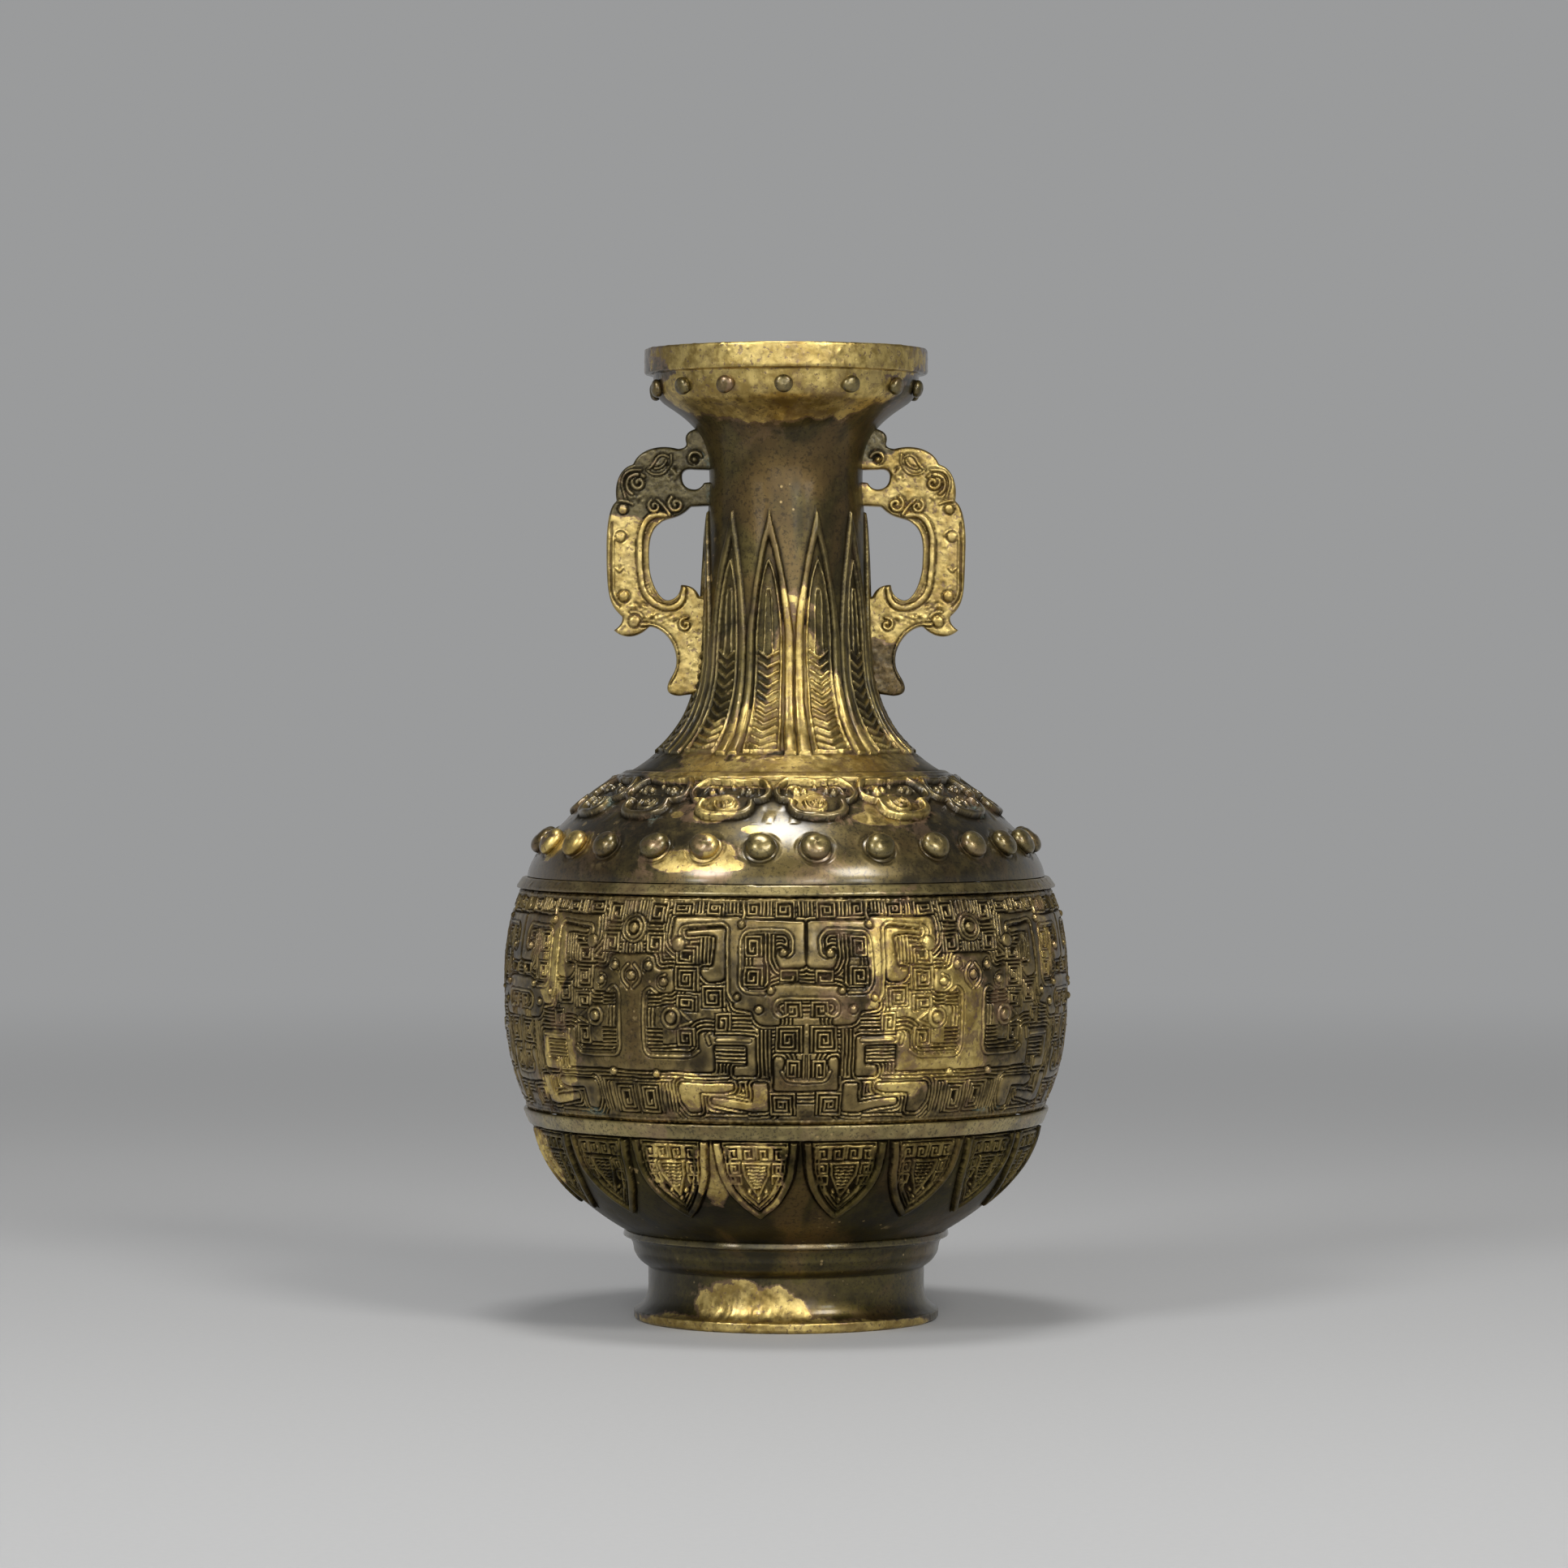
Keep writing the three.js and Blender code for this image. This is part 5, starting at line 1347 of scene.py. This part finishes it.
crest.curl(23.8, 16.9, 1.7, 100, -1.1, 0.8, 0.55, -0.2)
crest.curl(21.7, 56.2, 1.8, 160, -1.1, 0.85, 0.6, -0.25)
crest.dome(21.6, 56.0, 0.7, 0.75)
crest.ridge(drawn((34.2, 16.9), [(30.4, 17.0), (28.0, 14.4)], [(26.0, 12.0), (25.9, 8.8)],
                  [(26.2, 5.4), (28.2, 3.0)]), 0.9, 0.5, -0.35)
x, y = crest.x[None, :], crest.y[:, None]
rough = np.logical_or.reduce([np.hypot((x - left) / wide, (y - up) / high) < 1
                              for left, up, wide, high in ROUGH_PATCHES])
crest.roughen(rough, 0.8, 0.14, 12)
crest.roughen(True, 1.3, 0.032, 13)
crest.roughen(True, 0.6, 0.016, 14)
crest_smooth = Sheet(*HANDLE_SHEET)
crest_smooth.level = blurred(crest.level, 9)
print("handle relief", crest.level.shape, "from", crest.level.min(), "to", crest.level.max())

# %% An even plate
PLATE_HALF, PLATE_EDGE = 3.0, 0.9
PLATE_QUAD = 0.24


def evaluated_mesh(piece):
    """The mesh of an object as its modifiers leave it."""
    ready = bpy.context.evaluated_depsgraph_get()
    return bpy.data.meshes.new_from_object(piece.evaluated_get(ready))


def remeshed_plate(loop):
    """A flat plate with rounded edges, in small even quads: points, normals and faces."""
    drawing = bpy.data.curves.new("plate_drawing", "CURVE")
    drawing.dimensions, drawing.fill_mode = "2D", "BOTH"
    drawing.extrude, drawing.bevel_depth = PLATE_HALF - PLATE_EDGE, PLATE_EDGE
    drawing.bevel_resolution, drawing.offset = 2, -PLATE_EDGE
    spline = drawing.splines.new("POLY")
    spline.points.add(len(loop) - 1)
    for spot, (x, y) in zip(spline.points, loop):
        spot.co = (x, y, 0, 1)
    spline.use_cyclic_u = True
    plate = placed("plate_drawing", drawing)
    solid = placed("plate_solid", evaluated_mesh(plate))
    remesh = solid.modifiers.new("even quads", "REMESH")
    remesh.mode, remesh.voxel_size = "VOXEL", PLATE_QUAD
    relax = solid.modifiers.new("relax", "SMOOTH")
    relax.iterations, relax.factor = 3, 0.5
    even = evaluated_mesh(solid)
    points, normals = (np.zeros(3 * len(even.vertices), np.float32) for _ in range(2))
    even.vertices.foreach_get("co", points)
    even.vertices.foreach_get("normal", normals)
    faces = np.array([list(polygon.vertices) for polygon in even.polygons
                      if len(polygon.vertices) == 4])
    for leftover in (plate, solid):
        bpy.data.objects.remove(leftover)
    return points.reshape(-1, 3).astype(float), normals.reshape(-1, 3), faces


PLATE_POINTS, PLATE_NORMALS, PLATE_FACES = remeshed_plate(beast)
print("handle faces:", len(PLATE_FACES))

# %% Two handles
HANDLE_Z = 147.8
TILE_WIDTH, TILE_HEIGHT = 66.0, 69.0  # of the bake tile, in millimetres of the plate


def handle(name, side, node):
    """One handle: side is 1 for the right one, and -1 for the left, which is less gilt."""
    x, y, depth = PLATE_POINTS.T
    facing = np.clip((np.abs(PLATE_NORMALS[:, 2]) - 0.6) / 0.35, 0, 1) * np.sign(depth)
    relief, smooth = crest.read(x, y), crest_smooth.read(x, y)
    lifted = depth + facing * (relief + 0.04 * np.sin(1.3 * x + 0.9 * y + depth))
    z = HANDLE_Z + y
    points = np.column_stack([side * x, -side * lifted, z])
    points[:, :2] += 0.08 * np.column_stack([np.sin(0.31 * z + side), np.cos(0.23 * z)])
    # The right one is gilt but for its foot and the finial at the neck, the left one up to
    # its head.
    if side > 0:
        finial = np.clip((y - 55) / 3, 0, 1) * np.clip((27.5 - x) / 2.5, 0, 1)
        field = (np.clip((z - 159.5) / 5, -0.6, 0.62) - 0.5 * np.clip((24 - x) / 3, 0, 1)
                 - 0.7 * finial)
    else:
        field = np.clip((190 - z) / 6, -0.6, 0.62) - 0.4 * np.clip((20.8 - x) / 2, 0, 1)
    # Crests are marked raised, which gives them the lighter rubbed colour: partly wear, partly a
    # painted highlight.
    raised = np.clip((relief - smooth) / 0.35, 0, 1) * np.abs(facing)
    marks = {
        "hollow": np.clip((smooth - relief) / 0.28, 0, 1) * np.abs(facing),
        "raised": raised,
        "gilt": field + 0.4 * raised,
        "green": np.clip(0.5 - (x - 18.5) / 5, -1, 0.5),
    }
    corners = PLATE_POINTS[PLATE_FACES]
    back = (PLATE_NORMALS[PLATE_FACES].mean(1)[:, 2] < 0).repeat(4).reshape(-1, 4)
    uv = np.stack([(corners[..., 0] - crest.left) / TILE_WIDTH + 0.5 * back,
                   (corners[..., 1] - crest.bottom) / TILE_HEIGHT], -1)
    mesh_of(name, points, PLATE_FACES, marks, uv, handle_bronze, node)


handle("handle_right_beast", 1, "handle_right")
handle("handle_left_beast", -1, "handle_left")
print("handles from", HANDLE_Z, "to", round(HANDLE_Z + beast[:, 1].max(), 1), "mm")

# %% [markdown]
# ## Table, light and camera
#
# The vase stands on a plain pale table in front of a plain pale wall. Metal shows what it
# reflects, so each lamp has a highlight to make: a softbox overhead for the shoulder, one on
# each side for the paired spots on the studs, three small low cards for the step ring and the
# foot, which the belly shades from anything higher, and a broad weak fill from the front. The
# camera stands where the photographer's did: level with the shoulder, with a long lens.

# %% Floor
BACKDROP = 0.33
COOL_WHITE = (0.98, 0.99, 1.0)
FLOOR_REACH = 9.0


def seen_by_eye(graph):
    """1 for the rays that look at the backdrop: from the camera, a gloss or a glass."""
    path = graph.add("ShaderNodeLightPath").outputs
    camera, glossy, through = (Wire(graph, path[f"Is {kind} Ray"])
                               for kind in ("Camera", "Glossy", "Transmission"))
    return graph.math("MAXIMUM", graph.math("MAXIMUM", camera, glossy), through)


def pale(name, color):
    """A pale paper that turns into the backdrop further away, so that no horizon shows."""
    material = bpy.data.materials.new(name)
    material.use_nodes = True
    material.node_tree.nodes.clear()
    graph = Graph(material.node_tree)
    graph.place = graph.wire("ShaderNodeTexCoord", output="Object")
    darker = tuple(0.94 * c for c in color)
    paper = graph.wire("ShaderNodeBsdfPrincipled", {
        "Base Color": graph.mix(graph.noise(600.0), darker, color), "Roughness": 0.75})
    away = graph.wire("ShaderNodeVectorMath", {0: graph.place}, "Value", operation="LENGTH")
    glow = graph.wire("ShaderNodeEmission", {"Color": COOL_WHITE, "Strength": BACKDROP})
    far = graph.window(away, 0.25, 1.5) * seen_by_eye(graph)
    both = graph.wire("ShaderNodeMixShader", {0: far, 1: paper, 2: glow})
    graph.add("ShaderNodeOutputMaterial", {"Surface": both})
    return material


floor_mesh = bpy.data.meshes.new("floor")
floor_mesh.from_pydata([(x * FLOOR_REACH, y * FLOOR_REACH, 0) for x, y in
                        ((-1, -1), (1, -1), (1, 1), (-1, 1))], [], [(0, 1, 2, 3)])
floor_mesh.materials.append(pale("pale_floor", (0.42, 0.42, 0.42)))
floor = placed("floor", floor_mesh)
print("floor of", 2 * FLOOR_REACH, "m")

# %% World and lamps
AMBIENT, CEILING = 0.26, 0.1

world = bpy.data.worlds.new("studio")
bpy.context.scene.world = world
world.use_nodes = True
world.node_tree.nodes.clear()
graph = Graph(world.node_tree)
way = graph.wire("ShaderNodeTexCoord", output="Generated")
climb = graph.wire("ShaderNodeSeparateXYZ", {0: way}, "Z")
ceiling = graph.blend(graph.window(climb, 0.14, 0.5), BACKDROP, CEILING)
background = graph.wire("ShaderNodeBackground", {
    "Color": COOL_WHITE, "Strength": graph.blend(seen_by_eye(graph), AMBIENT, ceiling)})
graph.add("ShaderNodeOutputWorld", {"Surface": background})


def faced(piece, place, target):
    """Puts a lamp or camera in its place and turns it to a target."""
    piece.location = place
    piece.rotation_euler = (Vector(target) - Vector(place)).to_track_quat("-Z", "Y").to_euler()


def lamp(name, place, target, width, height, power, color=(1, 1, 1)):
    data = bpy.data.lights.new(name, "AREA")
    data.shape, data.size, data.size_y = "RECTANGLE", width, height
    data.energy, data.color = power, color
    piece = placed(name, data)
    piece.visible_camera = False
    faced(piece, place, target)


# Places, targets and sizes in metres, power in watts.
NECK_ROOT, FOOT_SPOT = (0, 0, 0.12), (0, 0, 0.05)
lamp("overhead_softbox", (-0.03, -0.06, 1.4), NECK_ROOT, 0.3, 0.26, 6.5)
lamp("left_softbox", (-0.68, -0.84, 1.0), NECK_ROOT, 0.34, 0.4, 7.0)
lamp("right_softbox", (0.64, -0.88, 1.0), NECK_ROOT, 0.34, 0.4, 8.0, (1, 0.98, 0.95))
lamp("front_fill", (0.0, -1.6, 0.54), NECK_ROOT, 1.5, 0.98, 6.3)
for title, turn, size, power in (("left", -39.0, 0.14, 1.0), ("middle", 12.0, 0.10, 0.6),
                                 ("right", 33.0, 0.14, 1.0)):
    lamp(f"low_{title}_card", around(turn, 1.16, 0.47), FOOT_SPOT, size, size, power,
         (0.95, 0.98, 1.0))
print("lamps:", len(bpy.data.lights))

# %% Camera
camera_data = bpy.data.cameras.new("camera")
camera_data.lens, camera_data.sensor_width = 128.1, 36.0
camera_data.clip_start = 0.05
camera = placed("camera", camera_data)
faced(camera, (0.0, -1.326, 0.1485), (-0.00048, 0.0, 0.1269))
bpy.context.scene.camera = camera
bpy.context.scene.view_settings.view_transform = "Standard"
print("lens:", camera_data.lens, "mm")

# %% [markdown]
# The dressed vase has to stay within a millimetre of the solids' box.
